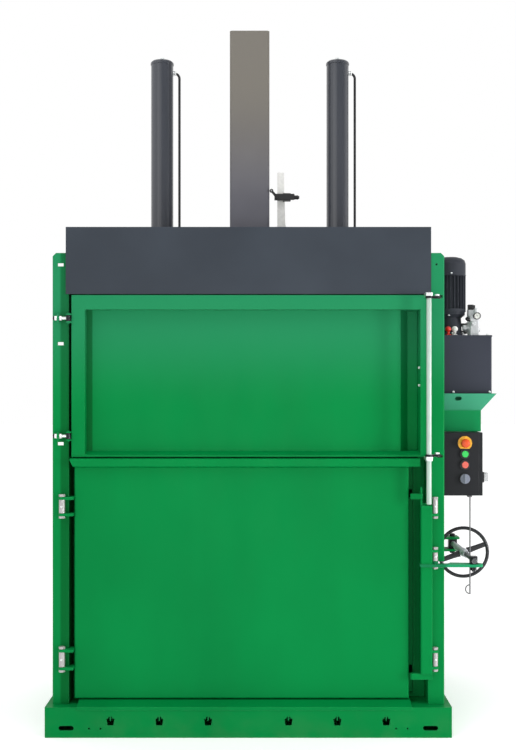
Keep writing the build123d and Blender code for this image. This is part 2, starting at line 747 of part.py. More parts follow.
def switch_lever():
    """Roller arm that rests by the guide column."""
    pivot_x = GUIDE_SIZE / 2 + 34
    roller_x = GUIDE_SIZE / 2 + ROLLER_RADIUS + 0.5
    roller_z = SWITCH_ARM_Z + 26
    y = SWITCH_Y - 34
    outline = [
        (pivot_x - 5, SWITCH_ARM_Z - 6), (pivot_x + 6, SWITCH_ARM_Z),
        (roller_x + 5, roller_z + 4), (roller_x - 4, roller_z - 3),
    ]
    arm = plan_xz(outline, y - 2, y)
    arm += along_y(pivot_x, y - 6, y + 1.7, SWITCH_ARM_Z - 2, 6)
    arm += along_y(roller_x, y - 9, y + 1, roller_z, ROLLER_RADIUS)
    return arm


def plan_xz(points, y0, y1):
    """A plate whose outline is given from the front."""
    face = make_face(Polyline(*[(x, y0, z) for x, z in points], close=True))
    return extrude(face, amount=y1 - y0, dir=(0, 1, 0))


# Upper gate and its lock bar

def gate_frame():
    """Rails and stiles of the gate, folded and open at the back."""
    back = CHAMBER_FRONT - 9
    left, right = GATE_LEFT, GATE_RIGHT
    inner_left = left + GATE_STILE_LEFT
    inner_right = right - GATE_STILE_RIGHT
    taper = 8.0
    outer = plan(
        [(left, GATE_FRONT), (right, GATE_FRONT), (right - taper, back), (left + taper, back)],
        GATE_BOTTOM, GATE_TOP,
    )
    window = section_x(
        [
            (GATE_FRONT - 1, GATE_BOTTOM + GATE_BOTTOM_RAIL - 0.3),
            (GATE_PANEL_FRONT, GATE_BOTTOM + GATE_BOTTOM_RAIL + GATE_BOTTOM_SLOPE),
            (back + 1, GATE_BOTTOM + GATE_BOTTOM_RAIL + GATE_BOTTOM_SLOPE),
            (back + 1, GATE_TOP - GATE_TOP_RAIL),
            (GATE_FRONT - 1, GATE_TOP - GATE_TOP_RAIL),
        ],
        inner_left, inner_right,
    )
    frame = outer - window
    t = GATE_SHEET
    y = (GATE_FRONT + t, back + 1)
    frame -= block((left + taper + t, inner_left - t), y, (GATE_BOTTOM + t, GATE_TOP - t))
    frame -= block((inner_right + t, right - taper - t), y, (GATE_BOTTOM + t, GATE_TOP - t))
    frame -= block((inner_left - t - 1, inner_right + t + 1), y, (GATE_TOP - GATE_TOP_RAIL + t, GATE_TOP - t))
    return frame


def gate_panel():
    """Recessed sheet of the gate, folded deeper along its right side."""
    x0 = GATE_LEFT + GATE_STILE_LEFT
    x1 = GATE_RIGHT - GATE_STILE_RIGHT
    t = GATE_SHEET
    outline = [
        (x0, GATE_PANEL_FRONT),
        (GATE_FOLD_START, GATE_PANEL_FRONT),
        (GATE_FOLD_END, GATE_PANEL_DEEP),
        (x1, GATE_PANEL_DEEP),
        (x1, GATE_PANEL_DEEP + t),
        (GATE_FOLD_END - t / 2, GATE_PANEL_DEEP + t),
        (GATE_FOLD_START - t / 2, GATE_PANEL_FRONT + t),
        (x0, GATE_PANEL_FRONT + t),
    ]
    low = GATE_BOTTOM + GATE_BOTTOM_RAIL + GATE_BOTTOM_SLOPE
    return plan(outline, low, GATE_TOP - GATE_TOP_RAIL)


def gate_liner():
    """Inner skin of the gate with upright stiffeners behind the panel."""
    y0 = CHAMBER_FRONT - 9
    liner = block(
        (-DOOR_FLANGE_EDGE, DOOR_FLANGE_EDGE),
        (y0, CHAMBER_FRONT - 1),
        (GATE_BOTTOM + 3, GATE_TOP - 3),
    )
    low = GATE_BOTTOM + GATE_BOTTOM_RAIL + GATE_BOTTOM_SLOPE
    for x in (-480.0, -240.0, 0.0, 240.0, 480.0):
        depth = (GATE_PANEL_FRONT + GATE_SHEET, y0)
        liner += block((x - 3, x + 3), depth, (low, GATE_TOP - GATE_TOP_RAIL))
    return liner


def gate_hinge_ear(z):
    """Pair of ears on the gate with the pin between them."""
    reach = 14.0
    ears = None
    for low in (z - reach - 6, z + reach):
        ear = upright(GATE_HINGE_X, GATE_HINGE_Y, EYE_RADIUS, low, low + 6)
        y = (GATE_HINGE_Y - EYE_RADIUS, GATE_HINGE_Y + 24)
        ear += block((GATE_HINGE_X + 2, GATE_LEFT), y, (low, low + 6))
        ears = ear if ears is None else ears + ear
    return ears + upright(GATE_HINGE_X, GATE_HINGE_Y, EYE_PIN, z - reach - 10, z + reach + 10)


def eye_bolt(z):
    """Eye bolt with its two nuts clamped on the column's lug."""
    height = 13.0
    eye = upright(GATE_HINGE_X, GATE_HINGE_Y, EYE_RADIUS - 0.5, z - height, z + height)
    eye += along_x(GATE_LUG_X[0] - 20, GATE_HINGE_X - 8, GATE_HINGE_Y, z, EYE_SHANK)
    eye += hexagon_x(GATE_LUG_X[0] - 12, GATE_LUG_X[0], GATE_HINGE_Y, z, 19)
    eye += hexagon_x(GATE_LUG_X[1], GATE_LUG_X[1] + 12, GATE_HINGE_Y, z, 19)
    return eye - upright(GATE_HINGE_X, GATE_HINGE_Y, EYE_PIN + RUNNING_CLEARANCE, z - 20, z + 20)


def bar_guide(z):
    """Bearing block of the lock bar on the gate's right stile."""
    half = 7.0
    guide = block((BAR_X - 15, BAR_X + 15), (BAR_Y - 15, BAR_Y + 15), (z - half, z + half))
    guide = fillet(guide.edges().filter_by(Axis.Z), 6)
    guide += block((BAR_X - 15, GATE_RIGHT - 2), (BAR_Y, GATE_FRONT), (z - half, z + half))
    return guide - upright(BAR_X, BAR_Y, BAR_RADIUS + RUNNING_CLEARANCE, z - 20, z + 20)


def lock_bar():
    """Upright round bar that turns the gate's two cams."""
    bar = upright(BAR_X, BAR_Y, BAR_RADIUS, BAR_BOTTOM, BAR_TOP)
    return fillet(bar.edges(), 4)


def bar_cam(z):
    """Cam plate on the lock bar with its stop bolt."""
    cam = plan(
        [
            (BAR_X, BAR_Y - 13), (BAR_X + 40, BAR_Y - 8), (BAR_X + 52, BAR_Y + 4),
            (BAR_X + 48, BAR_Y + 16), (BAR_X + 34, BAR_Y + 12), (BAR_X, BAR_Y + 13),
        ],
        z, z + 10,
    )
    cam += upright(BAR_X, BAR_Y, 16, z, z + 10)
    cam += hexagon_z(BAR_X + 36, BAR_Y + 2, z + 10, z + 18, 17)
    return cam - upright(BAR_X, BAR_Y, BAR_RADIUS, z - 1, z + 20)


# Lower door

def door_front():
    """Front pan of the lower door: skin with returns on all sides."""
    back = CHAMBER_FRONT - 9
    outline = [
        (DOOR_LEFT, DOOR_FRONT), (DOOR_RIGHT, DOOR_FRONT),
        (DOOR_RIGHT - DOOR_SIDE_TAPER, back), (DOOR_LEFT, back),
    ]
    pan = plan(outline, DOOR_BOTTOM, DOOR_TOP)
    pan = fillet(pan.faces().sort_by(Axis.Y)[0].edges(), 6)
    t = DOOR_SHEET
    inside = [
        (DOOR_LEFT + t, DOOR_FRONT + t),
        (DOOR_RIGHT - t, DOOR_FRONT + t),
        (DOOR_RIGHT - DOOR_SIDE_TAPER - t, back + 1),
        (DOOR_LEFT + t, back + 1),
    ]
    pan -= plan(inside, DOOR_BOTTOM + t, DOOR_TOP - t)
    reach = GROOVE_WIDTH / 2 + GROOVE_WALL
    depth = back - WALL_GROOVE_DEPTH
    for place in STRAP_PLACES:
        pan -= block((place - reach, place + reach), (depth, back + 1), (DOOR_BOTTOM - 1, DOOR_TOP + 1))
    return pan


def door_liner():
    """Inner skin of the lower door with strap grooves and a stiff right edge."""
    y0 = CHAMBER_FRONT - 1
    points = grooved_profile(DOOR_FLANGE_EDGE, WALL, WALL_GROOVE_DEPTH)
    outline = [(x, y0 + y) for x, y in points]
    liner = plan(outline, DOOR_BOTTOM, DOOR_TOP)
    liner += block(
        (DOOR_FLANGE_EDGE - 6, DOOR_FLANGE_EDGE),
        (y0 - WALL - DOOR_FLANGE_LIP, y0 - WALL),
        (DOOR_BOTTOM, DOOR_TOP),
    )
    for z in (UPPER_CLAW_Z, BEAM_BOTTOM - CLAW_THICKNESS - 2):
        liner -= block(
            (DOOR_RIGHT - DOOR_SIDE_TAPER, DOOR_FLANGE_EDGE + 1),
            (y0 - WALL - DOOR_FLANGE_LIP - 1, y0 + 1),
            (z - 7, z + CLAW_THICKNESS + 7),
        )
    return liner


def door_lip():
    """Shelf along the top of the lower door, with a mitred left end."""
    back = CHAMBER_FRONT - 1
    z0 = DOOR_TOP
    z1 = z0 + LIP_HEIGHT
    t = DOOR_SHEET
    outline = [(LIP_FRONT, z0), (LIP_FRONT, z1), (back, z1 + LIP_RISE), (back, z0)]
    bar = section_x(outline, LIP_LEFT, LIP_RIGHT)
    bar = fillet(bar.edges().filter_by(Axis.X).sort_by(Axis.Y)[:2], 4)
    hollow = [(LIP_FRONT + t, z0 + t), (LIP_FRONT + t, z1 - t), (back - t, z1 - t), (back - t, z0 + t)]
    bar -= section_x(hollow, LIP_LEFT + LIP_MITRE + 7, LIP_RIGHT - t)
    corner = [(LIP_LEFT - 1, z0 - 1), (LIP_LEFT + LIP_MITRE, z0 - 1), (LIP_LEFT - 1, z1 - 4)]
    return bar - plan_xz(corner, LIP_FRONT - 1, back + 1)


def leaf_spans(span):
    """Heights of the two leaves that sit below and above a knuckle."""
    low = (span[0] - HINGE_GAP - HINGE_PLATE, span[0] - HINGE_GAP)
    high = (span[1] + HINGE_GAP, span[1] + HINGE_GAP + HINGE_PLATE)
    return low, high


def door_leaf(z):
    """One leaf welded to the door's left side, bored for the hinge pin."""
    leaf = upright(DOOR_HINGE_X, DOOR_HINGE_Y, 15, z[0], z[1])
    leaf += block((DOOR_HINGE_X, DOOR_LEFT), (DOOR_HINGE_Y - 15, COLUMN_FACE - 2), z)
    leaf += block((-COLUMN_INNER + 3, DOOR_LEFT), (COLUMN_FACE - 2, DOOR_FRONT + 30), z)
    bore = HINGE_PIN_RADIUS + RUNNING_CLEARANCE
    return leaf - upright(DOOR_HINGE_X, DOOR_HINGE_Y, bore, z[0] - 1, z[1] + 1)


def knuckle(x, y, radius, pin, span, low, high):
    """Sleeve on a column with its hinge pin, a head above and a nut below."""
    across = pin * 3
    sleeve = upright(x, y, radius, span[0], span[1])
    sleeve += block((x - 6, x + 6), (y, COLUMN_FACE), span)
    sleeve += upright(x, y, pin, low, high)
    sleeve += hexagon_z(x, y, high - HINGE_GAP, high + HINGE_HEAD, across)
    return sleeve + hexagon_z(x, y, low - HINGE_HEAD, low, across)


def door_knuckle(span):
    """Fixed sleeve between two plates, round which a leaf of the lower door turns."""
    low = span[0] - 2 * HINGE_GAP - HINGE_PLATE
    high = span[1] + 3 * HINGE_GAP + HINGE_PLATE
    return knuckle(DOOR_HINGE_X, DOOR_HINGE_Y, HINGE_SLEEVE_RADIUS, HINGE_PIN_RADIUS, span, low, high)


def beam_knuckles():
    """The lock beam's three knuckles; the top one has no leaf above, the middle one carries the arm."""
    lower, middle, upper = BEAM_KNUCKLE_SPANS
    reach = 2 * HINGE_GAP + HINGE_PLATE
    ends = [
        (lower, lower[0] - reach, lower[1] + reach + HINGE_GAP),
        (middle, ARM_TOP - ARM_THICKNESS - HINGE_GAP, middle[1] + reach + HINGE_GAP),
        (upper, upper[0] - reach, upper[1] + HINGE_GAP),
    ]
    return [
        knuckle(BEAM_AXIS_X, BEAM_AXIS_Y, BEAM_SLEEVE_RADIUS, BEAM_PIN_RADIUS, span, low, high)
        for span, low, high in ends
    ]


# Lock beam, lever arm, spindle and hand wheel

def lock_beam():
    """Flat tube with lugs to the hinge pins beside it."""
    beam = block((BEAM_LEFT, BEAM_RIGHT), (BEAM_FRONT, BEAM_BACK), (BEAM_BOTTOM, BEAM_TOP))
    beam = fillet(beam.edges().filter_by(Axis.Z), 6)
    t = BEAM_TUBE_WALL
    beam -= block(
        (BEAM_LEFT + t, BEAM_RIGHT - t),
        (BEAM_FRONT + t, BEAM_BACK - t),
        (BEAM_BOTTOM - 1, BEAM_TOP + 1),
    )
    lower, middle, upper = [leaf_spans(span) for span in BEAM_KNUCKLE_SPANS]
    for z in (lower[0], lower[1], middle[1], upper[0]):
        beam += beam_lug(z)
    return beam


def beam_lug(z):
    """Lug of the lock beam round its hinge axis."""
    lug = upright(BEAM_AXIS_X, BEAM_AXIS_Y, 13, z[0], z[1])
    lug += block((BEAM_RIGHT - BEAM_TUBE_WALL, BEAM_AXIS_X), (BEAM_AXIS_Y - 13, BEAM_BACK), z)
    bore = BEAM_PIN_RADIUS + RUNNING_CLEARANCE
    return lug - upright(BEAM_AXIS_X, BEAM_AXIS_Y, bore, z[0] - 1, z[1] + 1)


def lock_claws():
    """Upper claw on its stem and lower claw under the beam."""
    y = (BEAM_FRONT + 8, BEAM_BACK)
    stem_y = (BEAM_AXIS_Y - 5, BEAM_BACK)
    upper = block((CLAW_TIP, BEAM_LEFT + 8), y, (UPPER_CLAW_Z, UPPER_CLAW_Z + CLAW_THICKNESS))
    upper = chamfer(upper.edges().filter_by(Axis.Z).sort_by(Axis.X)[:2], 7)
    upper += block((BEAM_LEFT, BEAM_LEFT + 7), stem_y, (BEAM_TOP, UPPER_CLAW_Z + CLAW_THICKNESS + 29))
    upper += block((BEAM_LEFT, BEAM_RIGHT - 8), (BEAM_BACK - 8, BEAM_BACK), (BEAM_TOP, BEAM_TOP + 8))
    lower = block((CLAW_TIP, BEAM_RIGHT), y, (BEAM_BOTTOM - CLAW_THICKNESS - 2, BEAM_BOTTOM))
    lower = chamfer(lower.edges().filter_by(Axis.Z).sort_by(Axis.X)[:2], 7)
    return upper, lower


def lever_arm():
    """Flat arm from the lock beam to the spindle, with a slot for the swivel's pin."""
    z = (ARM_TOP - ARM_THICKNESS, ARM_TOP)
    reach = SPINDLE_X - BEAM_AXIS_X
    travel = reach * math.tan(math.radians(BEAM_SWING_DEG))
    tip = BEAM_AXIS_X + math.hypot(reach, travel)
    arm = plan(
        [
            (BEAM_LEFT - 4, BEAM_FRONT - 6),
            (tip, BEAM_AXIS_Y - 24),
            (tip, BEAM_AXIS_Y + 24),
            (COLUMN_OUTER + 30, BEAM_BACK + 26),
            (COLUMN_OUTER + 12, BEAM_BACK),
            (BEAM_LEFT - 4, BEAM_BACK),
        ],
        z[0], z[1],
    )
    arm += upright(tip, BEAM_AXIS_Y, 24, z[0], z[1])
    arm -= block((BEAM_LEFT, BEAM_RIGHT), (BEAM_FRONT, BEAM_BACK + 1), (z[0] - 1, z[1] + 1))
    boss_top = BEAM_KNUCKLE_SPANS[1][0] - HINGE_GAP
    arm += upright(BEAM_AXIS_X, BEAM_AXIS_Y, 13, z[1], boss_top)
    arm -= upright(BEAM_AXIS_X, BEAM_AXIS_Y, BEAM_PIN_RADIUS + RUNNING_CLEARANCE, z[0] - 1, boss_top + 1)
    half = SWIVEL_PIN + SLOT_CLEARANCE
    arm -= upright(SPINDLE_X - 1, BEAM_AXIS_Y, half, z[0] - 1, z[1] + 1)
    arm -= upright(tip + 1, BEAM_AXIS_Y, half, z[0] - 1, z[1] + 1)
    arm -= block((SPINDLE_X - 1, tip + 1), (BEAM_AXIS_Y - half, BEAM_AXIS_Y + half), (z[0] - 1, z[1] + 1))
    return arm


def swivel_block():
    """Block round the spindle's front journal, with a pin down through the arm's slot."""
    low = ARM_TOP + 0.4
    y = (BEAM_AXIS_Y - SWIVEL_HALF, BEAM_AXIS_Y + SWIVEL_HALF)
    body = block((SPINDLE_X - SWIVEL_HALF, SPINDLE_X + SWIVEL_HALF), y, (low, SPINDLE_Z + SWIVEL_HALF + 2))
    body = fillet(body.edges().filter_by(Axis.Z), 5)
    body += upright(SPINDLE_X, BEAM_AXIS_Y, SWIVEL_PIN, ARM_TOP - ARM_THICKNESS - 22, low)
    body += hexagon_z(SPINDLE_X, BEAM_AXIS_Y, ARM_TOP - ARM_THICKNESS - 16, ARM_TOP - ARM_THICKNESS - 3, 24)
    return body - along_y(SPINDLE_X, y[0] - 1, y[1] + 1, SPINDLE_Z, SPINDLE_FRONT_RADIUS + RUNNING_CLEARANCE)


def screw_spindle():
    """Spindle: front journal with collars, thick middle and threaded rear end."""
    front = BEAM_AXIS_Y - SWIVEL_HALF
    back = BEAM_AXIS_Y + SWIVEL_HALF
    spindle = along_y(SPINDLE_X, front - 12, WHEEL_Y - 70, SPINDLE_Z, SPINDLE_FRONT_RADIUS)
    spindle += hexagon_y(SPINDLE_X, front - 12, front - 0.4, SPINDLE_Z, 24)
    spindle += along_y(SPINDLE_X, back + 0.4, back + 10, SPINDLE_Z, 13.5)
    spindle += along_y(SPINDLE_X, WHEEL_Y - 70, SPINDLE_STEP, SPINDLE_Z, SPINDLE_RADIUS)
    spindle += along_y(SPINDLE_X, SPINDLE_STEP, TRUNNION_Y[1] + 20, SPINDLE_Z, SPINDLE_THREAD_RADIUS)
    return spindle


def hand_wheel():
    """Rim on two flat spokes and a hub."""
    ring = Pos(SPINDLE_X, WHEEL_Y, SPINDLE_Z) * Rot(90, 0, 0) * Torus(WHEEL_RADIUS - WHEEL_RIM, WHEEL_RIM)
    spoke = Box(2 * (WHEEL_RADIUS - WHEEL_RIM), 6, 24)
    ring += Pos(SPINDLE_X, WHEEL_Y, SPINDLE_Z) * Rot(0, -20, 0) * spoke
    ring += along_y(SPINDLE_X, WHEEL_Y - 16, WHEEL_Y + 16, SPINDLE_Z, 30)
    return ring - along_y(SPINDLE_X, WHEEL_Y - 30, WHEEL_Y + 30, SPINDLE_Z, SPINDLE_RADIUS)


def spindle_anchor():
    """Fork on the side wall that holds the spindle's nut."""
    y = (TRUNNION_Y[0] - 18, TRUNNION_Y[1] + 18)
    half = 24.0
    far = SPINDLE_X + 28
    height = (SPINDLE_Z - FORK_PLATE_HALF, SPINDLE_Z + FORK_PLATE_HALF)
    anchor = block((WALL_OUTER, WALL_OUTER + 10), (y[0] - 20, y[1] + 20), height)
    for z in ((SPINDLE_Z + half, SPINDLE_Z + half + 10), (SPINDLE_Z - half - 10, SPINDLE_Z - half)):
        root = WALL_OUTER + 10
        plate = plan([(root, y[0] - 20), (far, y[0]), (far, y[1]), (root, y[1] + 20)], z[0], z[1])
        anchor += plate - upright(SPINDLE_X, sum(TRUNNION_Y) / 2, 8.3, z[0] - 1, z[1] + 1)
    return anchor


def trunnion_nut():
    """Nut block between the fork's plates, held by its own pins and nuts."""
    half = 24.0
    middle = sum(TRUNNION_Y) / 2
    nut = block((SPINDLE_X - 20, SPINDLE_X + 20), TRUNNION_Y, (SPINDLE_Z - half, SPINDLE_Z + half))
    nut = fillet(nut.edges().filter_by(Axis.Z), 4)
    nut += upright(SPINDLE_X, middle, 8, SPINDLE_Z - half - 24, SPINDLE_Z + half + 24)
    nut += hexagon_z(SPINDLE_X, middle, SPINDLE_Z + half + 10, SPINDLE_Z + half + 22, 24)
    nut += hexagon_z(SPINDLE_X, middle, SPINDLE_Z - half - 22, SPINDLE_Z - half - 10, 24)
    bore = SPINDLE_THREAD_RADIUS + RUNNING_CLEARANCE
    return nut - along_y(SPINDLE_X, TRUNNION_Y[0] - 1, TRUNNION_Y[1] + 1, SPINDLE_Z, bore)


# Power unit

def flare(left, front, right, back):
    """Body of the tray's upper part, which widens forwards and to the right as it rises."""
    low = [(left, front), (right, front), (right, back), (left, back)]
    wide_front = front - TRAY_FLARE
    wide_right = right + TRAY_FLARE
    high = [(left, wide_front), (wide_right, wide_front), (wide_right, back), (left, back)]
    return plan_faces(low, high, TRAY_BEND, TRAY_TOP - TRAY_BEND)


def power_tray():
    """Folded carrier of the power unit: upright apron, flared lip, shelf and wall plate."""
    t = TRAY_SHEET
    left = COLUMN_OUTER - 60
    back = TANK_BACK
    tray = block((left, TRAY_RIGHT), (TRAY_FRONT, TRAY_FRONT + t), (TRAY_BOTTOM, TRAY_BEND))
    tray += block((TRAY_RIGHT - t, TRAY_RIGHT), (TRAY_FRONT, back), (TRAY_BOTTOM, TRAY_BEND))
    tray += block((WALL_OUTER, TRAY_RIGHT), (TRAY_FRONT, back), (TRAY_BEND - t, TRAY_BEND))
    tray += block((WALL_OUTER, WALL_OUTER + t), (TRAY_FRONT, back), (TRAY_BEND, TRAY_TOP))
    lip = flare(left, TRAY_FRONT, TRAY_RIGHT, back)
    tray += lip - flare(left - 1, TRAY_FRONT + t, TRAY_RIGHT - t, back + 1)
    for y in (TRAY_FRONT + 60, back - 60):
        tray += block((TANK_LEFT + 20, TRAY_RIGHT - 20), (y - 15, y + 15), (TRAY_BEND, TANK_BOTTOM))
    hole = extrude(Plane.XZ * SlotOverall(30, 18), 60, both=True)
    return tray - Pos(960, TRAY_FRONT - 30, TRAY_BEND + 56) * hole


def plan_faces(low, high, z, rise):
    """A solid between a lower outline and an upper outline."""
    bottom = make_face(Polyline(*[(x, y, z) for x, y in low], close=True))
    top = make_face(Polyline(*[(x, y, z + rise) for x, y in high], close=True))
    return loft([bottom, top], ruled=True)


def oil_tank():
    """Oil tank with its lid plate welded on."""
    t = TRAY_SHEET
    tank = block((TANK_LEFT, TANK_RIGHT), (TANK_FRONT, TANK_BACK), (TANK_BOTTOM, TANK_TOP - 8))
    tank = fillet(tank.edges().filter_by(Axis.Z), 8)
    lid = block((TANK_LEFT - 2, TANK_RIGHT + 2), (TANK_FRONT - 2, TANK_BACK + 2), (TANK_TOP - 8, TANK_TOP))
    tank += fillet(lid.edges().filter_by(Axis.Z), 8)
    inside = (TANK_BOTTOM + t, TANK_TOP - 8)
    return tank - block((TANK_LEFT + t, TANK_RIGHT - t), (TANK_FRONT + t, TANK_BACK - t), inside)


def tank_caps():
    """Filler cap and breather on the lid."""
    caps = []
    for x, radius, height in ((TANK_LEFT + 66, 17, 44), (TANK_LEFT + 108, 15, 40)):
        stem = upright(x, TANK_FRONT + 34, radius - 6, TANK_TOP, TANK_TOP + height - 14)
        cap = upright(x, TANK_FRONT + 34, radius, TANK_TOP + height - 14, TANK_TOP + height)
        caps.append(stem + fillet(cap.edges().group_by(Axis.Z)[-1], 3))
    return caps


def pump_bell():
    """Bell housing between the tank lid and the motor."""
    profile = [
        (0, TANK_TOP), (72, TANK_TOP), (72, TANK_TOP + 12), (56, TANK_TOP + 18),
        (52, MOTOR_BOTTOM - 30), (MOTOR_RADIUS - 4, MOTOR_BOTTOM - 14),
        (MOTOR_RADIUS - 4, MOTOR_BOTTOM), (0, MOTOR_BOTTOM),
    ]
    face = make_face(Polyline(*[(r, 0, z) for r, z in profile], close=True))
    return Pos(MOTOR_X, MOTOR_Y, 0) * revolve(face, Axis.Z)


def motor_body():
    """Finned stator housing with a terminal box at the back."""
    core = MOTOR_RADIUS - 12
    body = upright(MOTOR_X, MOTOR_Y, core, MOTOR_BOTTOM, MOTOR_TOP)
    body += upright(MOTOR_X, MOTOR_Y, MOTOR_RADIUS, MOTOR_BOTTOM, MOTOR_BOTTOM + 12)
    height = MOTOR_TOP - MOTOR_BOTTOM - 12
    fin = Pos(core + 5, 0, MOTOR_BOTTOM + 12 + height / 2) * Box(14, 3, height)
    for i in range(MOTOR_FINS):
        body += Pos(MOTOR_X, MOTOR_Y, 0) * Rot(0, 0, 360 * i / MOTOR_FINS) * fin
    box_z = (MOTOR_BOTTOM + 40, MOTOR_TOP - 30)
    body += block((MOTOR_X - 45, MOTOR_X + 45), (MOTOR_Y + core - 8, MOTOR_Y + MOTOR_RADIUS + 38), box_z)
    return body


def fan_cover():
    """Pressed cover over the motor's fan, with a domed top."""
    profile = [
        (0, MOTOR_TOP + 2), (MOTOR_RADIUS, MOTOR_TOP + 2), (MOTOR_RADIUS, FAN_COVER_TOP - 30),
        (MOTOR_RADIUS - 5, FAN_COVER_TOP - 14), (MOTOR_RADIUS - 18, FAN_COVER_TOP - 4),
        (MOTOR_RADIUS - 34, FAN_COVER_TOP), (0, FAN_COVER_TOP),
    ]
    face = make_face(Polyline(*[(r, 0, z) for r, z in profile], close=True))
    cover = Pos(MOTOR_X, MOTOR_Y, 0) * revolve(face, Axis.Z)
    return cover + upright(MOTOR_X, MOTOR_Y, MOTOR_RADIUS - 13, MOTOR_TOP, MOTOR_TOP + 2)


def valve_block():
    """Valve block on the lid with its ports and pipe stubs."""
    x = (MOTOR_X + 84, MOTOR_X + 128)
    y = (MOTOR_Y - 60, MOTOR_Y + 10)
    block_top = TANK_TOP + 96
    body = block(x, y, (TANK_TOP, block_top))
    body = chamfer(body.edges().filter_by(Axis.Z), 4)
    body += along_y(MOTOR_X + 98, y[0] - 14, y[0], TANK_TOP + 60, 11)
    body += along_x(x[0] - 12, x[0], MOTOR_Y - 40, TANK_TOP + 40, 10)
    body += upright(MOTOR_X + 116, MOTOR_Y - 44, 12, block_top, block_top + 30)
    return body


def valve_solenoid():
    """Coil and plug on top of the valve block."""
    x = MOTOR_X + 100
    low = TANK_TOP + 96
    coil = block((x - 16, x + 8), (MOTOR_Y - 26, MOTOR_Y + 6), (low, low + 56))
    coil = fillet(coil.edges().filter_by(Axis.Z), 5)
    return coil + block((x - 8, x + 16), (MOTOR_Y - 22, MOTOR_Y + 2), (low + 34, low + 54))


def pressure_gauge():
    """Round gauge that faces the front."""
    x = MOTOR_X + 112
    y = MOTOR_Y - 60
    gauge = along_y(x, y - 34, y - 14, TANK_TOP + 94, 16)
    gauge += along_y(x, y - 14, y, TANK_TOP + 86, 6)
    return gauge


# Control box

def control_box():
    """Box body, open to the front under its lid."""
    y = (BOX_FRONT + BOX_LID, BOX_BACK)
    body = block((BOX_LEFT, BOX_RIGHT), y, (BOX_BOTTOM, BOX_TOP))
    t = BOX_WALL
    body -= block((BOX_LEFT + t, BOX_RIGHT - t), (y[0] - 1, y[1] - t), (BOX_BOTTOM + t, BOX_TOP - t))
    body -= along_x(BOX_RIGHT - 6, BOX_RIGHT + 1, SIDE_SWITCH_Y, SIDE_SWITCH_Z, SIDE_SHAFT + BUTTON_CLEARANCE)
    for z in (BOX_BOTTOM + 60, BOX_TOP - 30):
        body += block((WALL_OUTER, BOX_LEFT), (CARRIER_FRONT, BOX_BACK), (z, z + CARRIER_SHEET))
    return body


def control_lid():
    """Door of the control box with a hole behind each button."""
    lid = block((BOX_LEFT, BOX_RIGHT - 16), (BOX_FRONT, BOX_FRONT + BOX_LID), (BOX_BOTTOM, BOX_TOP))
    lid = fillet(lid.faces().sort_by(Axis.Y)[0].edges(), 3)
    inside = (BOX_BOTTOM + 4, BOX_TOP - 4)
    lid -= block((BOX_LEFT + 4, BOX_RIGHT - 20), (BOX_FRONT + 4, BOX_FRONT + BOX_LID + 1), inside)
    for z in (STOP_Z, START_Z, RESET_Z, MODE_Z):
        lid -= along_y(BUTTON_X, BOX_FRONT - 1, BOX_FRONT + 6, z, STEM_RADIUS + BUTTON_CLEARANCE)
    edge = block((BOX_RIGHT - 15.7, BOX_RIGHT), (BOX_FRONT + 2, BOX_FRONT + BOX_LID), (BOX_BOTTOM, BOX_TOP))
    return lid, edge


def button_ring(z, radius, bore, depth):
    """Ring on the lid round a button."""
    ring = along_y(BUTTON_X, BOX_FRONT - depth, BOX_FRONT, z, radius)
    return ring - along_y(BUTTON_X, BOX_FRONT - depth - 1, BOX_FRONT + 1, z, bore)


def stop_button():
    """Mushroom head on its stem."""
    profile = [
        (0, 0), (0, 30), (10, 29.5), (17, 27), (20, 22),
        (20, 17), (11, 13), (STEM_RADIUS, 12), (STEM_RADIUS, 0),
    ]
    outline = make_face(Polyline(*[(r, 0, z) for r, z in profile], close=True))
    head = Pos(BUTTON_X, BOX_FRONT, STOP_Z) * Rot(90, 0, 0) * revolve(outline, Axis.Z)
    return head + along_y(BUTTON_X, BOX_FRONT - 1, BOX_FRONT + 20, STOP_Z, STEM_RADIUS)


def push_button(z):
    """Flat button with a rounded edge, on its stem."""
    cap = along_y(BUTTON_X, BOX_FRONT - 12, BOX_FRONT - 5, z, BUTTON_RADIUS)
    cap = fillet(cap.edges().sort_by(Axis.Y)[0], 2)
    return cap + along_y(BUTTON_X, BOX_FRONT - 6, BOX_FRONT + 20, z, STEM_RADIUS)


def mode_switch():
    """Round selector with a finger bar."""
    knob = along_y(BUTTON_X, BOX_FRONT - 12, BOX_FRONT - 4.4, MODE_Z, 22)
    knob += along_y(BUTTON_X, BOX_FRONT - 5, BOX_FRONT + 20, MODE_Z, STEM_RADIUS)
    knob += block((BUTTON_X - 5, BUTTON_X + 5), (BOX_FRONT - 22, BOX_FRONT - 12), (MODE_Z - 19, MODE_Z + 19))
    return knob


def main_switch():
    """Rotary main switch on the box's right side."""
    y = SIDE_SWITCH_Y
    knob = along_x(BOX_RIGHT + 14, BOX_RIGHT + 22, y, SIDE_SWITCH_Z, 21)
    knob += along_x(BOX_RIGHT - 20, BOX_RIGHT + 14, y, SIDE_SWITCH_Z, SIDE_SHAFT)
    knob += block((BOX_RIGHT + 22, BOX_RIGHT + 36), (y - 6, y + 6), (SIDE_SWITCH_Z - 20, SIDE_SWITCH_Z + 20))
    return knob


def switch_plate():
    """Base of the main switch on the box side."""
    y = SIDE_SWITCH_Y
    plate = block((BOX_RIGHT, BOX_RIGHT + 13.6), (y - 24, y + 24), (SIDE_SWITCH_Z - 24, SIDE_SWITCH_Z + 24))
    plate = fillet(plate.edges().filter_by(Axis.X), 5)
    return plate - along_x(BOX_RIGHT - 1, BOX_RIGHT + 15, y, SIDE_SWITCH_Z, SIDE_SHAFT + BUTTON_CLEARANCE)


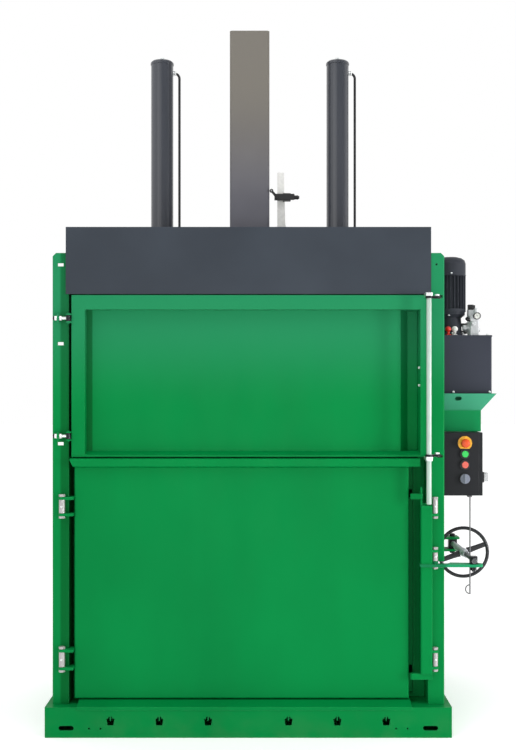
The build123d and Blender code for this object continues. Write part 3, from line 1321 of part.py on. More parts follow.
def strap_needle():
    """Thin rod with a hooked end, hung from a tab under the control box."""
    tab = (BOX_BOTTOM - 6, BOX_BOTTOM)
    holder = block((NEEDLE_X - 9, NEEDLE_X + 9), (NEEDLE_Y - 7, NEEDLE_Y + 30), tab)
    needle = upright(NEEDLE_X, NEEDLE_Y, 3, NEEDLE_TIP, tab[0])
    hook = Pos(NEEDLE_X, NEEDLE_Y, NEEDLE_TIP + 22) * Rot(90, 0, 0) * Torus(20, 2.5)
    hook -= block(
        (NEEDLE_X, NEEDLE_X + 40),
        (NEEDLE_Y - 10, NEEDLE_Y + 10),
        (NEEDLE_TIP - 10, NEEDLE_TIP + 60),
    )
    return holder + needle + hook


def rings():
    """Rings of the four front controls."""
    stem_bore = STEM_RADIUS + BUTTON_CLEARANCE
    return [
        button_ring(STOP_Z, STOP_COLLAR_RADIUS, stem_bore, 4),
        button_ring(START_Z, RING_RADIUS, BUTTON_RECESS, 9),
        button_ring(RESET_Z, RING_RADIUS, BUTTON_RECESS, 9),
        button_ring(MODE_Z, RING_RADIUS + 2, stem_bore, 4),
    ]


save("base_frame", base_frame())
save("chamber_floor", chamber_floor())
save("side_walls", side_wall(), mirrored(side_wall()))
save("rear_wall", rear_wall())
ribs = [channel_rib(z) for z in RIB_HEIGHTS]
save("wall_ribs", *ribs, *[mirrored(rib) for rib in ribs], *[rear_band(z) for z in RIB_HEIGHTS])
save("left_column", left_column())
save("right_column", right_column())
save("front_header", front_header())
save("cross_head", cross_head())
save("top_cover", top_cover())
save("guide_pads", *guide_pads())
save("barrels", barrel(-1), barrel(1))
save("cylinder_pipes", cylinder_pipe(-1), cylinder_pipe(1))
save("switch_bracket", switch_bracket())
save("switch_body", switch_body())
save("switch_lever", switch_lever())
save("hinge_knuckles", *[door_knuckle(span) for span in DOOR_HINGE_SPANS], *beam_knuckles())

save("gate_eye_bolts", *[eye_bolt(z) for z in GATE_HINGE_HEIGHTS])
save("gate_frame", gate_frame())
save("gate_panel", gate_panel())
save("gate_liner", gate_liner())
save("gate_hinge_ears", *[gate_hinge_ear(z) for z in GATE_HINGE_HEIGHTS])
save("bar_guides", *[bar_guide(z) for z in BAR_GUIDE_HEIGHTS])
save("gate_lock_bar", lock_bar())
save("lock_bar_cams", bar_cam(BAR_GUIDE_HEIGHTS[0] + 7.4), bar_cam(BAR_GUIDE_HEIGHTS[1] - 17.4))

save("door_front", door_front())
save("door_liner", door_liner())
save("door_lip", door_lip())
save("door_hinge_leaves", *[door_leaf(z) for span in DOOR_HINGE_SPANS for z in leaf_spans(span)])

save("lock_beam", lock_beam())
save("lock_claws", *lock_claws())
save("lever_arm", lever_arm())
save("swivel_block", swivel_block())
save("screw_spindle", screw_spindle())
save("hand_wheel", hand_wheel())
save("spindle_anchor", spindle_anchor())
save("trunnion_nut", trunnion_nut())

save("press_plate", press_plate())
save("guide_column", guide_column())
save("piston_rods", piston_rod(-1), piston_rod(1))

save("power_tray", power_tray())
save("oil_tank", oil_tank())
save("tank_caps", *tank_caps())
save("pump_bell", pump_bell())
save("motor_body", motor_body())
save("fan_cover", fan_cover())
save("valve_block", valve_block())
save("valve_solenoid", valve_solenoid())
save("pressure_gauge", pressure_gauge())
save(
    "feed_pipes",
    feed_pipe(MOTOR_X + 96, MOTOR_Y + 135, TANK_TOP + 64),
    feed_pipe(MOTOR_X + 112, MOTOR_Y + 177, TANK_TOP + 30),
)

save("control_box", control_box())
save("control_lid", *control_lid())
save("button_rings", *rings())
save("stop_button", stop_button())
save("start_button", push_button(START_Z))
save("reset_button", push_button(RESET_Z))
save("mode_switch", mode_switch())
save("main_switch", main_switch())
save("switch_plate", switch_plate())
save("strap_needle", strap_needle())
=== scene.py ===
import bmesh
import bpy
import json
import math
import numpy as np
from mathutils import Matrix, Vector


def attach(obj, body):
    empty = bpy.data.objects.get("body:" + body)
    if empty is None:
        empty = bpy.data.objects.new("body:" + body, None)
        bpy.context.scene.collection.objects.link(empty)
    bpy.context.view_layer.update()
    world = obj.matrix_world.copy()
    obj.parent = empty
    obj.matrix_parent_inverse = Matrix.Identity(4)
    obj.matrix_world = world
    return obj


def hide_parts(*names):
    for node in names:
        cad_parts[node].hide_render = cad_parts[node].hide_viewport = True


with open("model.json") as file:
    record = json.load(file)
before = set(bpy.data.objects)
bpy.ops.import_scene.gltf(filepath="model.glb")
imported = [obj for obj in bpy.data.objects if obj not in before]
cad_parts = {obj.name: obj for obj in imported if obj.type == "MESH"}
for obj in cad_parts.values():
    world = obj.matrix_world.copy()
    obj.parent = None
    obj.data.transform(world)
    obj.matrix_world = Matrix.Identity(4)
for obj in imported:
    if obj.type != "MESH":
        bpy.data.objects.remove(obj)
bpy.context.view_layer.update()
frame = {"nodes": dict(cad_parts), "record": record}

# Recycling baler in metres, +Z up, its doors towards -Y
MM = 0.001


# Shader sums written as plain arithmetic
class Value:
    """A number or colour that varies over a surface."""

    def __init__(self, finish, socket):
        self.finish = finish
        self.socket = socket

    def _sum(self, operation, first, second):
        return self.finish.node("Math", {"operation": operation}, {0: first, 1: second})

    def __add__(self, other):
        return self._sum("ADD", self, other)

    def __radd__(self, other):
        return self._sum("ADD", other, self)

    def __mul__(self, other):
        return self._sum("MULTIPLY", self, other)

    def __rmul__(self, other):
        return self._sum("MULTIPLY", other, self)


class Finish:
    """One paint, metal or plastic, built up from nodes."""

    def __init__(self, name, **surface):
        self.material = bpy.data.materials.new(name)
        self.material.use_nodes = True
        self.tree = self.material.node_tree
        self.tree.nodes.clear()
        self.shader = self.tree.nodes.new("ShaderNodeBsdfPrincipled")
        output = self.tree.nodes.new("ShaderNodeOutputMaterial")
        self.tree.links.new(self.shader.outputs[0], output.inputs["Surface"])
        self.place = self.node("TexCoord", {}, {}, "Object")
        self.set(**surface)

    def node(self, kind, settings, inputs, outlet=0):
        """Adds a node of a kind, gives it its settings, then its sockets, and returns one outlet."""
        made = self.tree.nodes.new("ShaderNode" + kind)
        for key, value in settings.items():
            setattr(made, key, value)
        for key, value in inputs.items():
            self.feed(made.inputs[key], value)
        return Value(self, made.outputs[outlet])

    def feed(self, socket, value):
        """Links a varying value to a socket, or sets the socket to a constant."""
        if isinstance(value, Value):
            self.tree.links.new(value.socket, socket)
        else:
            socket.default_value = value

    def set(self, **surface):
        """Feeds the shader's sockets; an underscore stands for a space in a socket's name."""
        for key, value in surface.items():
            self.feed(self.shader.inputs[key.replace("_", " ")], value)

    def stretched(self, x, y, z):
        """The place on the object, pulled along its axes, so that a pattern runs one way."""
        return self.node("Mapping", {}, {"Vector": self.place, "Scale": (x, y, z)})

    def noise(self, scale, detail=2.0, at=None):
        inputs = {"Vector": at or self.place, "Scale": scale, "Detail": detail}
        return self.node("TexNoise", {}, inputs)

    def between(self, value, start, end):
        """Rises smoothly from 0 where the value is at its start to 1 where it is at its end."""
        inputs = {"Value": value, "From Min": start, "From Max": end}
        return self.node("MapRange", {"interpolation_type": "SMOOTHSTEP"}, inputs)

    def patches(self, scale, detail, start=0.3, end=0.7, at=None):
        """Noise sharpened into soft-edged patches."""
        return self.between(self.noise(scale, detail, at), start, end)

    def blend(self, share, first, second):
        """From the first colour, where the share is 0, to the second, where it is 1."""
        return self.node("Mix", {"data_type": "RGBA"}, {0: share, 6: first, 7: second}, 2)

    def axis(self, letter):
        return self.node("SeparateXYZ", {}, {0: self.place}, letter)

    def edge(self, radius):
        """About 1 along a sheet's edges and 0 on its flats, with the rounded normal that goes with it."""
        soft = self.node("Bevel", {"samples": 4}, {"Radius": radius})
        flat = self.node("NewGeometry", {}, {}, "Normal")
        same = self.node("VectorMath", {"operation": "DOT_PRODUCT"}, {0: soft, 1: flat}, "Value")
        return self.between(same, 0.995, 0.80), soft

    def bump(self, height, depth, normal=None):
        """The normal of a surface that a height raises by up to a depth in metres."""
        inputs = {"Height": height, "Distance": depth, "Strength": 1.0}
        if normal is not None:
            inputs["Normal"] = normal
        return self.node("Bump", {}, inputs)


def shade(red, green, blue):
    """A colour picked as it looks on screen, made linear."""
    parts = [part / 255 for part in (red, green, blue)]
    return (*[p / 12.92 if p < 0.04 else ((p + 0.055) / 1.055) ** 2.4 for p in parts], 1.0)


def toned(colour, share, lift=0.0):
    """A colour made darker or lighter by a share, then lifted a little off black."""
    return (*[min(1.0, part * share + lift) for part in colour[:3]], 1.0)


# Colours of the paint, of its worn places, and of the painted sheen, highlight and shade on it
GREEN = shade(0, 125, 60)
PAINTED_SHEEN_GREEN = shade(33, 131, 84)
PAINTED_SHADE_GREEN = shade(0, 74, 26)
EDGE_HIGHLIGHT_AND_WEAR_GREEN = shade(86, 172, 124)
RUBBED_GREY = shade(128, 131, 138)
DUST = shade(104, 116, 92)
GRIME = shade(30, 26, 20)
WORN_METAL = shade(236, 238, 240)

# Heights over which a painted sheen makes the green paler, and below which it is dusty
PAINTED_SHEEN_HEIGHTS = (1.42, 1.84)
DUST_TOP = 0.16


# Finishes
def sheet_paint(name, colour=GREEN, paler_top=PAINTED_SHEEN_GREEN, roughness=0.40, taper=PAINTED_SHEEN_HEIGHTS, painted_shade_band=None):
    """Sprayed sheet steel with fine peel and dust; painted sheen on top, painted highlight and chips on
    edges, a painted shade band.
    """
    f = Finish(name, IOR=1.45, Specular_IOR_Level=0.06)
    drift = f.patches(1.7, 3.0)
    spray = f.patches(5.0, 2.0, at=f.stretched(1.0, 1.0, 0.18))
    tone = f.blend(drift * 0.6 + spray * 0.4, toned(colour, 0.90), toned(colour, 1.07))
    # Painted sheen: the green turns paler towards the top, between two heights.
    tone = f.blend(f.between(f.axis("Z"), *taper), tone, paler_top)
    # Painted shade: the green darkened towards a deep green from one place along X onwards.
    if painted_shade_band:
        start, end, share = painted_shade_band
        tone = f.blend(f.between(f.axis("X"), start, end) * share, tone, PAINTED_SHADE_GREEN)
    along_edges, soft = f.edge(0.0025)
    chipped = along_edges * f.patches(38.0, 4.0, 0.50, 0.66)
    dusty = f.between(f.axis("Z"), DUST_TOP, 0.0) * f.patches(9.0, 4.0, 0.35, 0.75)
    tone = f.blend(dusty * 0.10, tone, DUST)
    # Painted highlight: every edge lightened a little; the chipped patches next are wear.
    tone = f.blend(along_edges * 0.20, tone, EDGE_HIGHLIGHT_AND_WEAR_GREEN)
    tone = f.blend(chipped * 0.35, tone, EDGE_HIGHLIGHT_AND_WEAR_GREEN)
    smears = f.patches(12.0, 3.0, 0.35, 0.75, f.stretched(1.0, 1.0, 0.4))
    peel = f.bump(f.noise(420.0, 1.0), 0.00004, soft)
    f.set(Base_Color=tone, Roughness=roughness + smears * 0.10, Normal=peel)
    return f


def powder_coat(name, colour, roughness, paler_top=None):
    """Fine-textured dark coating with pale scuffs along its edges; it can turn paler between two heights."""
    f = Finish(name, IOR=1.45, Specular_IOR_Level=0.16)
    along_edges, soft = f.edge(0.0022)
    tone = f.blend(f.patches(2.3, 3.0), toned(colour, 0.88), toned(colour, 1.10))
    if paler_top:
        pale, low, high = paler_top
        tone = f.blend(f.between(f.axis("Z"), low, high), tone, pale)
    scuffs = along_edges * (0.16 + 0.5 * f.patches(46.0, 4.0, 0.55, 0.7))
    tone = f.blend(scuffs, tone, RUBBED_GREY)
    grit = f.bump(f.noise(900.0, 2.0), 0.00005, soft)
    f.set(Base_Color=tone, Roughness=roughness + f.patches(7.0, 3.0) * 0.10, Normal=grit)
    return f


def barrel_paint(name, colour):
    """Glossy cylinder paint with faint runs down its length."""
    f = Finish(name, IOR=1.5, Specular_IOR_Level=0.5, Coat_Weight=0.25, Coat_Roughness=0.05)
    runs = f.patches(30.0, 2.0, at=f.stretched(1.0, 1.0, 0.05))
    tone = f.blend(runs, toned(colour, 0.9), colour)
    f.set(Base_Color=tone, Roughness=0.20 + runs * 0.07, Normal=f.bump(f.noise(160.0, 1.0), 0.00001))
    return f


def bare_metal(name, colour, roughness, across=(1.0, 1.0, 1.0), tarnish=0.25, metallic=1.0):
    """Turned or ground steel: fine tool marks one way and patches of dulled surface."""
    f = Finish(name, Metallic=metallic)
    dull = f.patches(26.0, 4.0, 0.42, 0.72)
    along_edges, soft = f.edge(0.0012)
    tone = f.blend(dull * tarnish, colour, toned(colour, 0.55))
    tone = f.blend(along_edges * 0.4, tone, WORN_METAL)
    marks = f.bump(f.noise(700.0, 2.0, f.stretched(*across)), 0.00003, soft)
    f.set(Base_Color=tone, Roughness=roughness + dull * 0.16, Normal=marks)
    return f


def moulded(name, colour, roughness, grain=1400.0):
    """Moulded plastic with a fine spark-eroded grain and lightly polished edges."""
    f = Finish(name, IOR=1.49, Specular_IOR_Level=0.45)
    along_edges, soft = f.edge(0.0012)
    drift = f.patches(60.0, 3.0)
    tone = f.blend(drift, toned(colour, 0.9), colour)
    tone = f.blend(along_edges * 0.25, tone, toned(colour, 1.5, 0.02))
    sparks = f.bump(f.noise(grain, 1.0), 0.00002, soft)
    f.set(Base_Color=tone, Roughness=roughness + drift * 0.08, Normal=sparks)
    return f


def two_tone(name, upper, lower, height, roughness):
    """Moulded rings of two colours that meet at a height."""
    f = moulded(name, upper, roughness)
    tone = f.blend(f.between(f.axis("Z"), height - MM, height + MM), lower, upper)
    f.set(Base_Color=f.blend(f.patches(60.0, 3.0) * 0.2, tone, GRIME))
    return f


ALONG_Y = (1.0, 0.1, 1.0)
ALONG_Z = (1.0, 1.0, 0.1)
LONG_BAR = (1.0, 1.0, 0.06)
STOP_RING_FOOT = 1.247

green = sheet_paint("baler_green_paint")
# Painted shade down the column's side next to the gate and door.
hinge_side = sheet_paint("hinge_column_paint", roughness=0.42, painted_shade_band=(-0.833, -0.820, 0.62))
# Painted shade down the left side of the gate's recessed panel.
gate_sheet = sheet_paint("gate_panel_paint", painted_shade_band=(-0.690, -0.694, 0.65))
# Bracket: a lighter copy of the green for its lit faces, and a painted highlight on its upward slope above
# about 1.42 m.
carrier_green = sheet_paint(
    "carrier_green_paint", shade(22, 138, 80), shade(68, 158, 122), 0.42, taper=(1.414, 1.426)
)
# Lever arm: a lighter copy of the green for its lit top, with painted shade inward of X 0.856 m, where it
# crosses the column.
lever_green = sheet_paint("lever_green_paint", shade(30, 140, 92), painted_shade_band=(0.876, 0.856, 0.45))

canopy = powder_coat("canopy_grey_coat", shade(56, 62, 70), 0.48)
mast = powder_coat("guide_column_coat", shade(101, 101, 108), 0.42, (shade(118, 114, 107), 2.35, 3.0))
tank_coat = powder_coat("tank_coat", shade(55, 58, 68), 0.44)
box_coat = powder_coat("control_box_coat", shade(38, 39, 42), 0.46)
casting = powder_coat("motor_casting_coat", shade(54, 57, 64), 0.46)
barrel = barrel_paint("cylinder_barrel_paint", shade(64, 67, 74))

steel = bare_metal("zinc_plated_steel", shade(206, 209, 210), 0.34)
pale_zinc = bare_metal("pale_zinc_plate", shade(240, 243, 243), 0.40, tarnish=0.10)
bar_plate = bare_metal("pale_plated_bar", shade(176, 194, 184), 0.5, LONG_BAR, 0.05, 0.3)
ground_sleeve = bare_metal("ground_sleeve_steel", shade(186, 188, 194), 0.42, ALONG_Y, 0.15, 0.2)
drawn_wire = bare_metal("drawn_needle_wire", shade(104, 102, 106), 0.45, ALONG_Z, 0.2, 0.3)
chrome = bare_metal("hard_chrome_bar", shade(244, 247, 246), 0.24, LONG_BAR, 0.06)
oiled = bare_metal("oiled_dark_steel", shade(92, 94, 96), 0.42, tarnish=0.5)
blackened = bare_metal("blackened_steel", shade(46, 47, 50), 0.36, tarnish=0.4)
knuckle = bare_metal("hinge_knuckle_steel", shade(176, 173, 173), 0.42, ALONG_Z, 0.12, 0.4)
alloy = bare_metal("machined_alloy", shade(222, 224, 226), 0.42, tarnish=0.15, metallic=0.18)

pad = moulded("guide_pad_nylon", shade(224, 220, 206), 0.42)
tube_coat = moulded("black_tube_coat", shade(26, 27, 29), 0.34)
white_coat = moulded("white_bracket_coat", shade(230, 230, 226), 0.46, 700.0)
black_resin = moulded("black_resin", shade(28, 29, 31), 0.40)
wheel_resin = moulded("hand_wheel_resin", shade(30, 31, 34), 0.18)
ring_resin = two_tone("control_ring_resin", shade(246, 178, 40), shade(30, 30, 32), STOP_RING_FOOT, 0.30)
red_resin = moulded("red_resin", shade(220, 52, 34), 0.28)
stop_resin = moulded("stop_button_resin", shade(222, 80, 30), 0.30)
reset_resin = moulded("reset_button_resin", shade(228, 104, 90), 0.30)
green_resin = moulded("green_resin", shade(52, 206, 92), 0.26)
grey_resin = moulded("grey_resin", shade(122, 128, 142), 0.36)
pale_resin = moulded("pale_resin", shade(190, 191, 192), 0.36)
dial_white = moulded("dial_white", shade(238, 238, 232), 0.30)

finish_of_slot = {
    "green_paint": green,
    "grey_paint": canopy,
    "black_paint": box_coat,
    "bright_steel": steel,
    "polished_bar": chrome,
    "dark_steel": oiled,
    "pad_plastic": pad,
    "black_tube": tube_coat,
    "white_paint": white_coat,
    "black_plastic": black_resin,
    "yellow_plastic": ring_resin,
    "red_plastic": red_resin,
    "green_plastic": green_resin,
    "grey_plastic": grey_resin,
    "gauge_face": black_resin,
}
finish_of_node = {
    "guide_column": mast,
    "barrels": barrel,
    "oil_tank": tank_coat,
    "motor_body": casting,
    "pump_bell": casting,
    "fan_cover": casting,
    "left_column": hinge_side,
    "power_tray": carrier_green,
    "lever_arm": lever_green,
    "gate_lock_bar": bar_plate,
    "bar_guides": pale_zinc,
    "hinge_knuckles": knuckle,
    "gate_panel": gate_sheet,
    "lock_bar_cams": blackened,
    "valve_block": alloy,
    "trunnion_nut": blackened,
    "swivel_block": blackened,
    "main_switch": pale_resin,
    "strap_needle": drawn_wire,
    "stop_button": stop_resin,
    "reset_button": reset_resin,
}
for entry in frame["record"]["subparts"]:
    node = frame["nodes"][entry["node"]]
    chosen = finish_of_node.get(entry["node"], finish_of_slot[entry["material_slot"]])
    if not node.material_slots:
        node.data.materials.append(None)
    for place in node.material_slots:
        place.material = chosen.material


# Shapes worked out as grids of points, in millimetres
TURN = 2 * math.pi
UP = (0.0, 0.0, 1.0)
DOWN = (0.0, 0.0, -1.0)
RIGHT = (1.0, 0.0, 0.0)
LEFT = (-1.0, 0.0, 0.0)
FRONT = (0.0, -1.0, 0.0)
BACK = (0.0, 1.0, 0.0)


def net(points, round_rows=False):
    """The faces between neighbouring points of a grid; its columns close into a ring, its rows can too."""
    rows, columns = points.shape[:2]
    number = np.arange(rows * columns).reshape(rows, columns)
    number = np.concatenate([number, number[:, :1]], axis=1)
    if round_rows:
        number = np.concatenate([number, number[:1]], axis=0)
    corners = [number[:-1, :-1], number[1:, :-1], number[1:, 1:], number[:-1, 1:]]
    return points.reshape(-1, 3), np.stack(corners, axis=-1).reshape(-1, 4)


def square_to(direction):
    """A direction made one long, and two more square to it; the last is the more upright."""
    d = np.array(direction, float)
    d = d / np.linalg.norm(d)
    lean = np.array(BACK) if abs(d[2]) > 0.9 else np.array(UP)
    a = np.cross(lean, d)
    a = a / np.linalg.norm(a)
    return d, a, np.cross(d, a)


def turned(at, direction, profile, sides=32, ring=False):
    """Lathe work: at + s d + r (a cos t + b sin t), t going once round, for each s and r of a profile."""
    d, a, b = square_to(direction)
    s, r = np.array(profile, float).T
    t = np.linspace(0.0, TURN, sides, endpoint=False)
    rim = np.outer(np.cos(t), a) + np.outer(np.sin(t), b)
    points = np.array(at, float) + s[:, None, None] * d + r[:, None, None] * rim
    return net(points, ring)


def threaded(at, direction, length, core, crest, pitch, sides=24):
    """A screw: at place s and angle t its radius swells from core to crest as cos(s / pitch - t), clipped."""
    d, a, b = square_to(direction)
    s = np.linspace(0.0, length, int(length / pitch * 8) + 1)
    t = np.linspace(0.0, TURN, sides, endpoint=False)
    wave = np.clip(0.5 + 0.9 * np.cos(TURN * s[:, None] / pitch - t), 0.0, 1.0)
    r = np.pad(core + (crest - core) * wave, ((1, 1), (0, 0)))
    s = np.pad(s, 1, mode="edge")
    rim = np.outer(np.cos(t), a) + np.outer(np.sin(t), b)
    return net(np.array(at, float) + s[:, None, None] * d + r[:, :, None] * rim)


def drawn(path, wide, deep=None, lean=UP, sides=16, power=1.0):
    """A section carried along a path: wide c a + deep s b, c and s being cos t and sin t to a power."""
    path = np.array(path, float)
    ahead = np.gradient(path, axis=0)
    ahead = ahead / np.linalg.norm(ahead, axis=1, keepdims=True)
    a = np.cross(lean, ahead)
    a = a / np.linalg.norm(a, axis=1, keepdims=True)
    b = np.cross(ahead, a)
    t = np.linspace(0.0, TURN, sides, endpoint=False) + TURN / sides / 2
    c = np.sign(np.cos(t)) * np.abs(np.cos(t)) ** power
    s = np.sign(np.sin(t)) * np.abs(np.sin(t)) ** power
    wide = np.broadcast_to(wide, len(path))[:, None, None]
    deep = wide if deep is None else np.broadcast_to(deep, len(path))[:, None, None]
    around = wide * c[:, None] * a[:, None, :] + deep * s[:, None] * b[:, None, :]
    ends = np.repeat(path[[0, -1], None, :], sides, axis=1)
    return net(np.concatenate([ends[:1], path[:, None, :] + around, ends[1:]]))


def weld(start, end, radius, ripple=12.0):
    """A bead from start to end: its radius swells by an eighth at each ripple and dies away at both ends."""
    start, end = np.array(start, float), np.array(end, float)
    length = np.linalg.norm(end - start)
    u = np.linspace(0.0, 1.0, int(length / ripple * 4) + 3)
    swell = 1.0 + 0.125 * np.abs(np.sin(math.pi * u * length / ripple))
    taper = np.clip(np.minimum(u, 1.0 - u) * length / radius, 0.05, 1.0) ** 0.5
    lean = BACK if abs((end - start)[2]) > 0.9 * length else UP
    return drawn(start + u[:, None] * (end - start), radius * swell * taper, lean=lean, sides=6)


def plate(at, direction, width, height, thick, corner):
    """A plate with round corners and a bevelled face: rings of its outline, closed in the middle."""
    bevel = 0.8
    d, a, b = square_to(direction)
    t = np.linspace(0.0, TURN, 32, endpoint=False) + TURN / 64
    rows = []
    for s, inset in ((0.0, 0.0), (thick - bevel, 0.0), (thick, bevel)):
        x = np.sign(np.cos(t)) * (width / 2 - corner) + (corner - inset) * np.cos(t)
        y = np.sign(np.sin(t)) * (height / 2 - corner) + (corner - inset) * np.sin(t)
        rows.append(np.array(at, float) + s * d + np.outer(x, a) + np.outer(y, b))
    low = np.broadcast_to(np.array(at, float), rows[0].shape)
    return net(np.stack([low, *rows, low + thick * d]))


def hex_head(at, direction, flats, height):
    """A hexagon head with chamfered corners on its washer."""
    r = flats / math.sqrt(3)
    washer = [(0, 0), (0, r * 1.15), (1.2, r * 1.15), (1.6, r * 1.1), (1.6, 0)]
    head = [(1.5, 0), (1.5, r), (height * 0.82, r), (height, r * 0.86), (height, 0)]
    return [turned(at, direction, washer, 24), turned(at, direction, head, 6)]


def dome_screw(at, direction, radius, height):
    """A round head with a socket in it."""
    shape = [(0, 0), (0, 1), (0.4, 1), (0.8, 0.8), (1, 0.5), (1, 0.36), (0.45, 0.32), (0.45, 0)]
    return turned(at, direction, [(s * height, r * radius) for s, r in shape], 20)


def put(name, body, finish, nets, stands_for=()):
    """Joins nets into one piece, closes its seams, faces it outwards and lets it ride on a body."""
    starts = np.cumsum([0] + [len(points) for points, _ in nets])
    points = np.concatenate([points for points, _ in nets]) * MM
    faces = np.concatenate([faces + start for (_, faces), start in zip(nets, starts)])
    mesh = bpy.data.meshes.new(name)
    mesh.from_pydata(points.tolist(), [], faces.tolist())
    work = bmesh.new()
    work.from_mesh(mesh)
    bmesh.ops.remove_doubles(work, verts=work.verts, dist=0.00001)
    bmesh.ops.recalc_face_normals(work, faces=work.faces)
    work.to_mesh(mesh)
    work.free()
    mesh.shade_smooth()
    mesh.set_sharp_from_angle(angle=math.radians(35.0))
    mesh.materials.append(finish.material)
    piece = bpy.data.objects.new(name, mesh)
    bpy.context.scene.collection.objects.link(piece)
    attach(piece, body)
    if stands_for:
        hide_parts(*stands_for)


# Lock of the lower door
SPINDLE_X, SPINDLE_Z = 986.0, 767.0
WHEEL_Y = -299.0
WHEEL = np.array([SPINDLE_X, WHEEL_Y, SPINDLE_Z])
RIM_RADIUS, RIM_ROUND = 111.0, 8.0
SPOKE_ANGLE = math.radians(20)


def lock_wheel():
    """A round rim swept about the spindle and two flat spokes that widen towards its hub."""
    v = np.linspace(0.0, TURN, 20, endpoint=False)
    rim = np.stack([RIM_ROUND * np.sin(v), RIM_RADIUS + RIM_ROUND * np.cos(v)], axis=1)
    parts = [turned(WHEEL, BACK, rim, 112, ring=True)]
    lie = np.array([math.cos(SPOKE_ANGLE), 0.0, math.sin(SPOKE_ANGLE)])
    u = np.linspace(0.0, 1.0, 12)
    half_width = 12.5 - 1.5 * u + 3.0 * (1 - u) ** 6
    half_depth = 3.4
    for side in (-1, 1):
        path = WHEEL + side * np.outer(18 + 90 * u, lie)
        parts.append(drawn(path, half_width, half_depth, BACK, 24, 0.55))
    put("lock_wheel", "wheel", wheel_resin, parts, ["hand_wheel"])


def spindle():
    """Ground sleeve with the wheel's hub and set screw, threaded tail, and dark journal with its nut."""
    axis = (SPINDLE_X, 0.0, SPINDLE_Z)
    sleeve = [(-369, 0), (-369, 14.2), (-367.6, 15.5), (-113.4, 15.5), (-112, 14.2), (-112, 0)]
    hub = [(-17, 15.4), (-17, 17), (-15, 19), (15, 19), (17, 17), (17, 15.4)]
    tail = [(28, 0), (28, 10.4), (29, 10.2), (30, 9), (30, 0)]
    parts = [
        turned(axis, BACK, sleeve, 40),
        turned(WHEEL, BACK, hub, 40, ring=True),
        dome_screw(WHEEL + (-6.2, 0, 17.2), (-0.34, 0, 0.94), 4.0, 3.0),
        threaded((SPINDLE_X, -112.5, SPINDLE_Z), BACK, 141.0, 10.4, 12.0, 10.0, 32),
        turned(axis, BACK, tail, 32),
    ]
    put("spindle_sleeve", "wheel", ground_sleeve, parts, ["screw_spindle"])
    journal = [
        (-568, 0), (-568, 8.6), (-566.8, 9.8), (-524, 9.8), (-523.6, 13.5),
        (-514, 13.5), (-514, 10), (-370, 10), (-368, 10), (-368, 0),
    ]
    nut = [(-567.2, 0), (-567.2, 12.2), (-565.2, 13.8), (-558.2, 13.8), (-556.6, 12.4), (-556.6, 0)]
    parts = [turned(axis, BACK, journal, 32), turned(axis, BACK, nut, 6)]
    put("spindle_journal", "wheel", oiled, parts)


# Hinge pins of the lower door and of its lock beam: X, sleeve radius, and the heights of the nipples
PIN_Y = -540.0
DOOR_PIN = (-817.0, 13.0, (333.5, 1003.5))
LOCK_PIN = (819.0, 11.0, (333.5, 783.5, 1003.5))


def hinge_nipples():
    """Grease nipples on the fixed sleeves of both hinges."""
    shape = [
        (0, 0), (0, 4.6), (2.4, 4.6), (2.6, 3.2), (5.2, 2.2),
        (6.0, 2.6), (7.4, 2.4), (8.2, 1.2), (8.2, 0),
    ]
    parts = []
    for x, radius, heights in (DOOR_PIN, LOCK_PIN):
        for z in heights:
            parts.append(turned((x, PIN_Y - radius + 0.4, z), FRONT, shape, 16))
    put("hinge_nipples", "machine", pale_zinc, parts)


# Hinges and lock bar of the upper gate
GATE_PIN_X, GATE_PIN_Y = -790.0, -534.5
GATE_EYE_Z = (1311.0, 1828.0)
LOCK_BAR_X, LOCK_BAR_Y = 786.0, -575.0
CAM_BOLT_X, CAM_BOLT_Y = 822.0, -573.0


def eye_bolts():
    """Threaded shanks through the column's lugs with two nuts each, and a blackened eye round the pin."""
    eye = [(-13, 5.1), (-13, 9.4), (-11.8, 10.5), (11.8, 10.5), (13, 9.4), (13, 5.1)]
    nut = [(0, 0), (0, 9.6), (1.4, 10.97), (10.4, 10.97), (11.8, 9.6), (11.8, 0)]
    end = [(0, 0), (0, 8.6), (2, 8.8), (7, 7.8), (7.8, 0)]
    bright, dark = [], []
    for z in GATE_EYE_Z:
        dark.append(turned((GATE_PIN_X, GATE_PIN_Y, z), UP, eye, 32, ring=True))
        bright.append(threaded((-858, GATE_PIN_Y, z), RIGHT, 60.5, 6.5, 7.5, 3.0))
        bright.append(turned((-829.8, GATE_PIN_Y, z), RIGHT, nut, 6))
        bright.append(turned((-838.2, GATE_PIN_Y, z), LEFT, nut, 6))
        dark.append(turned((-850.2, GATE_PIN_Y, z), LEFT, end, 24))
    put("hinge_eye_bolts", "machine", pale_zinc, bright, ["gate_eye_bolts"])
    put("hinge_eyes", "machine", blackened, dark, ["gate_eye_bolts"])


def bar_fittings():
    """Clamp collars on the lock bar beside its guides, a flat one on top, and the cams' stop nuts."""
    collar = [(0, 11.02), (0, 14.6), (1.2, 15.8), (3.2, 15.8), (4.4, 14.6), (4.4, 11.02)]
    nut = [(0, 0), (0, 9.4), (0.9, 10.5), (7.4, 10.5), (8.6, 9.2), (8.6, 0)]
    parts = []
    for z, way, high in ((1208.6, DOWN, 1.0), (1936.4, UP, 0.2)):
        loop = [(s * high, r) for s, r in collar]
        parts.append(turned((LOCK_BAR_X, LOCK_BAR_Y, z), way, loop, 32, ring=True))
    for z in (1233.4, 1921.6):
        parts.append(turned((CAM_BOLT_X, CAM_BOLT_Y, z), UP, nut, 6))
    put("lock_bar_fittings", "gate_lock", pale_zinc, parts)


def stile_bolts():
    """Two bolt heads in the recess beside the gate's panel."""
    parts = []
    for z in (1533.5, 1611.7):
        parts += hex_head((755.4, -500, z), LEFT, 10.0, 5.5)
    put("stile_bolts", "gate", pale_zinc, parts)


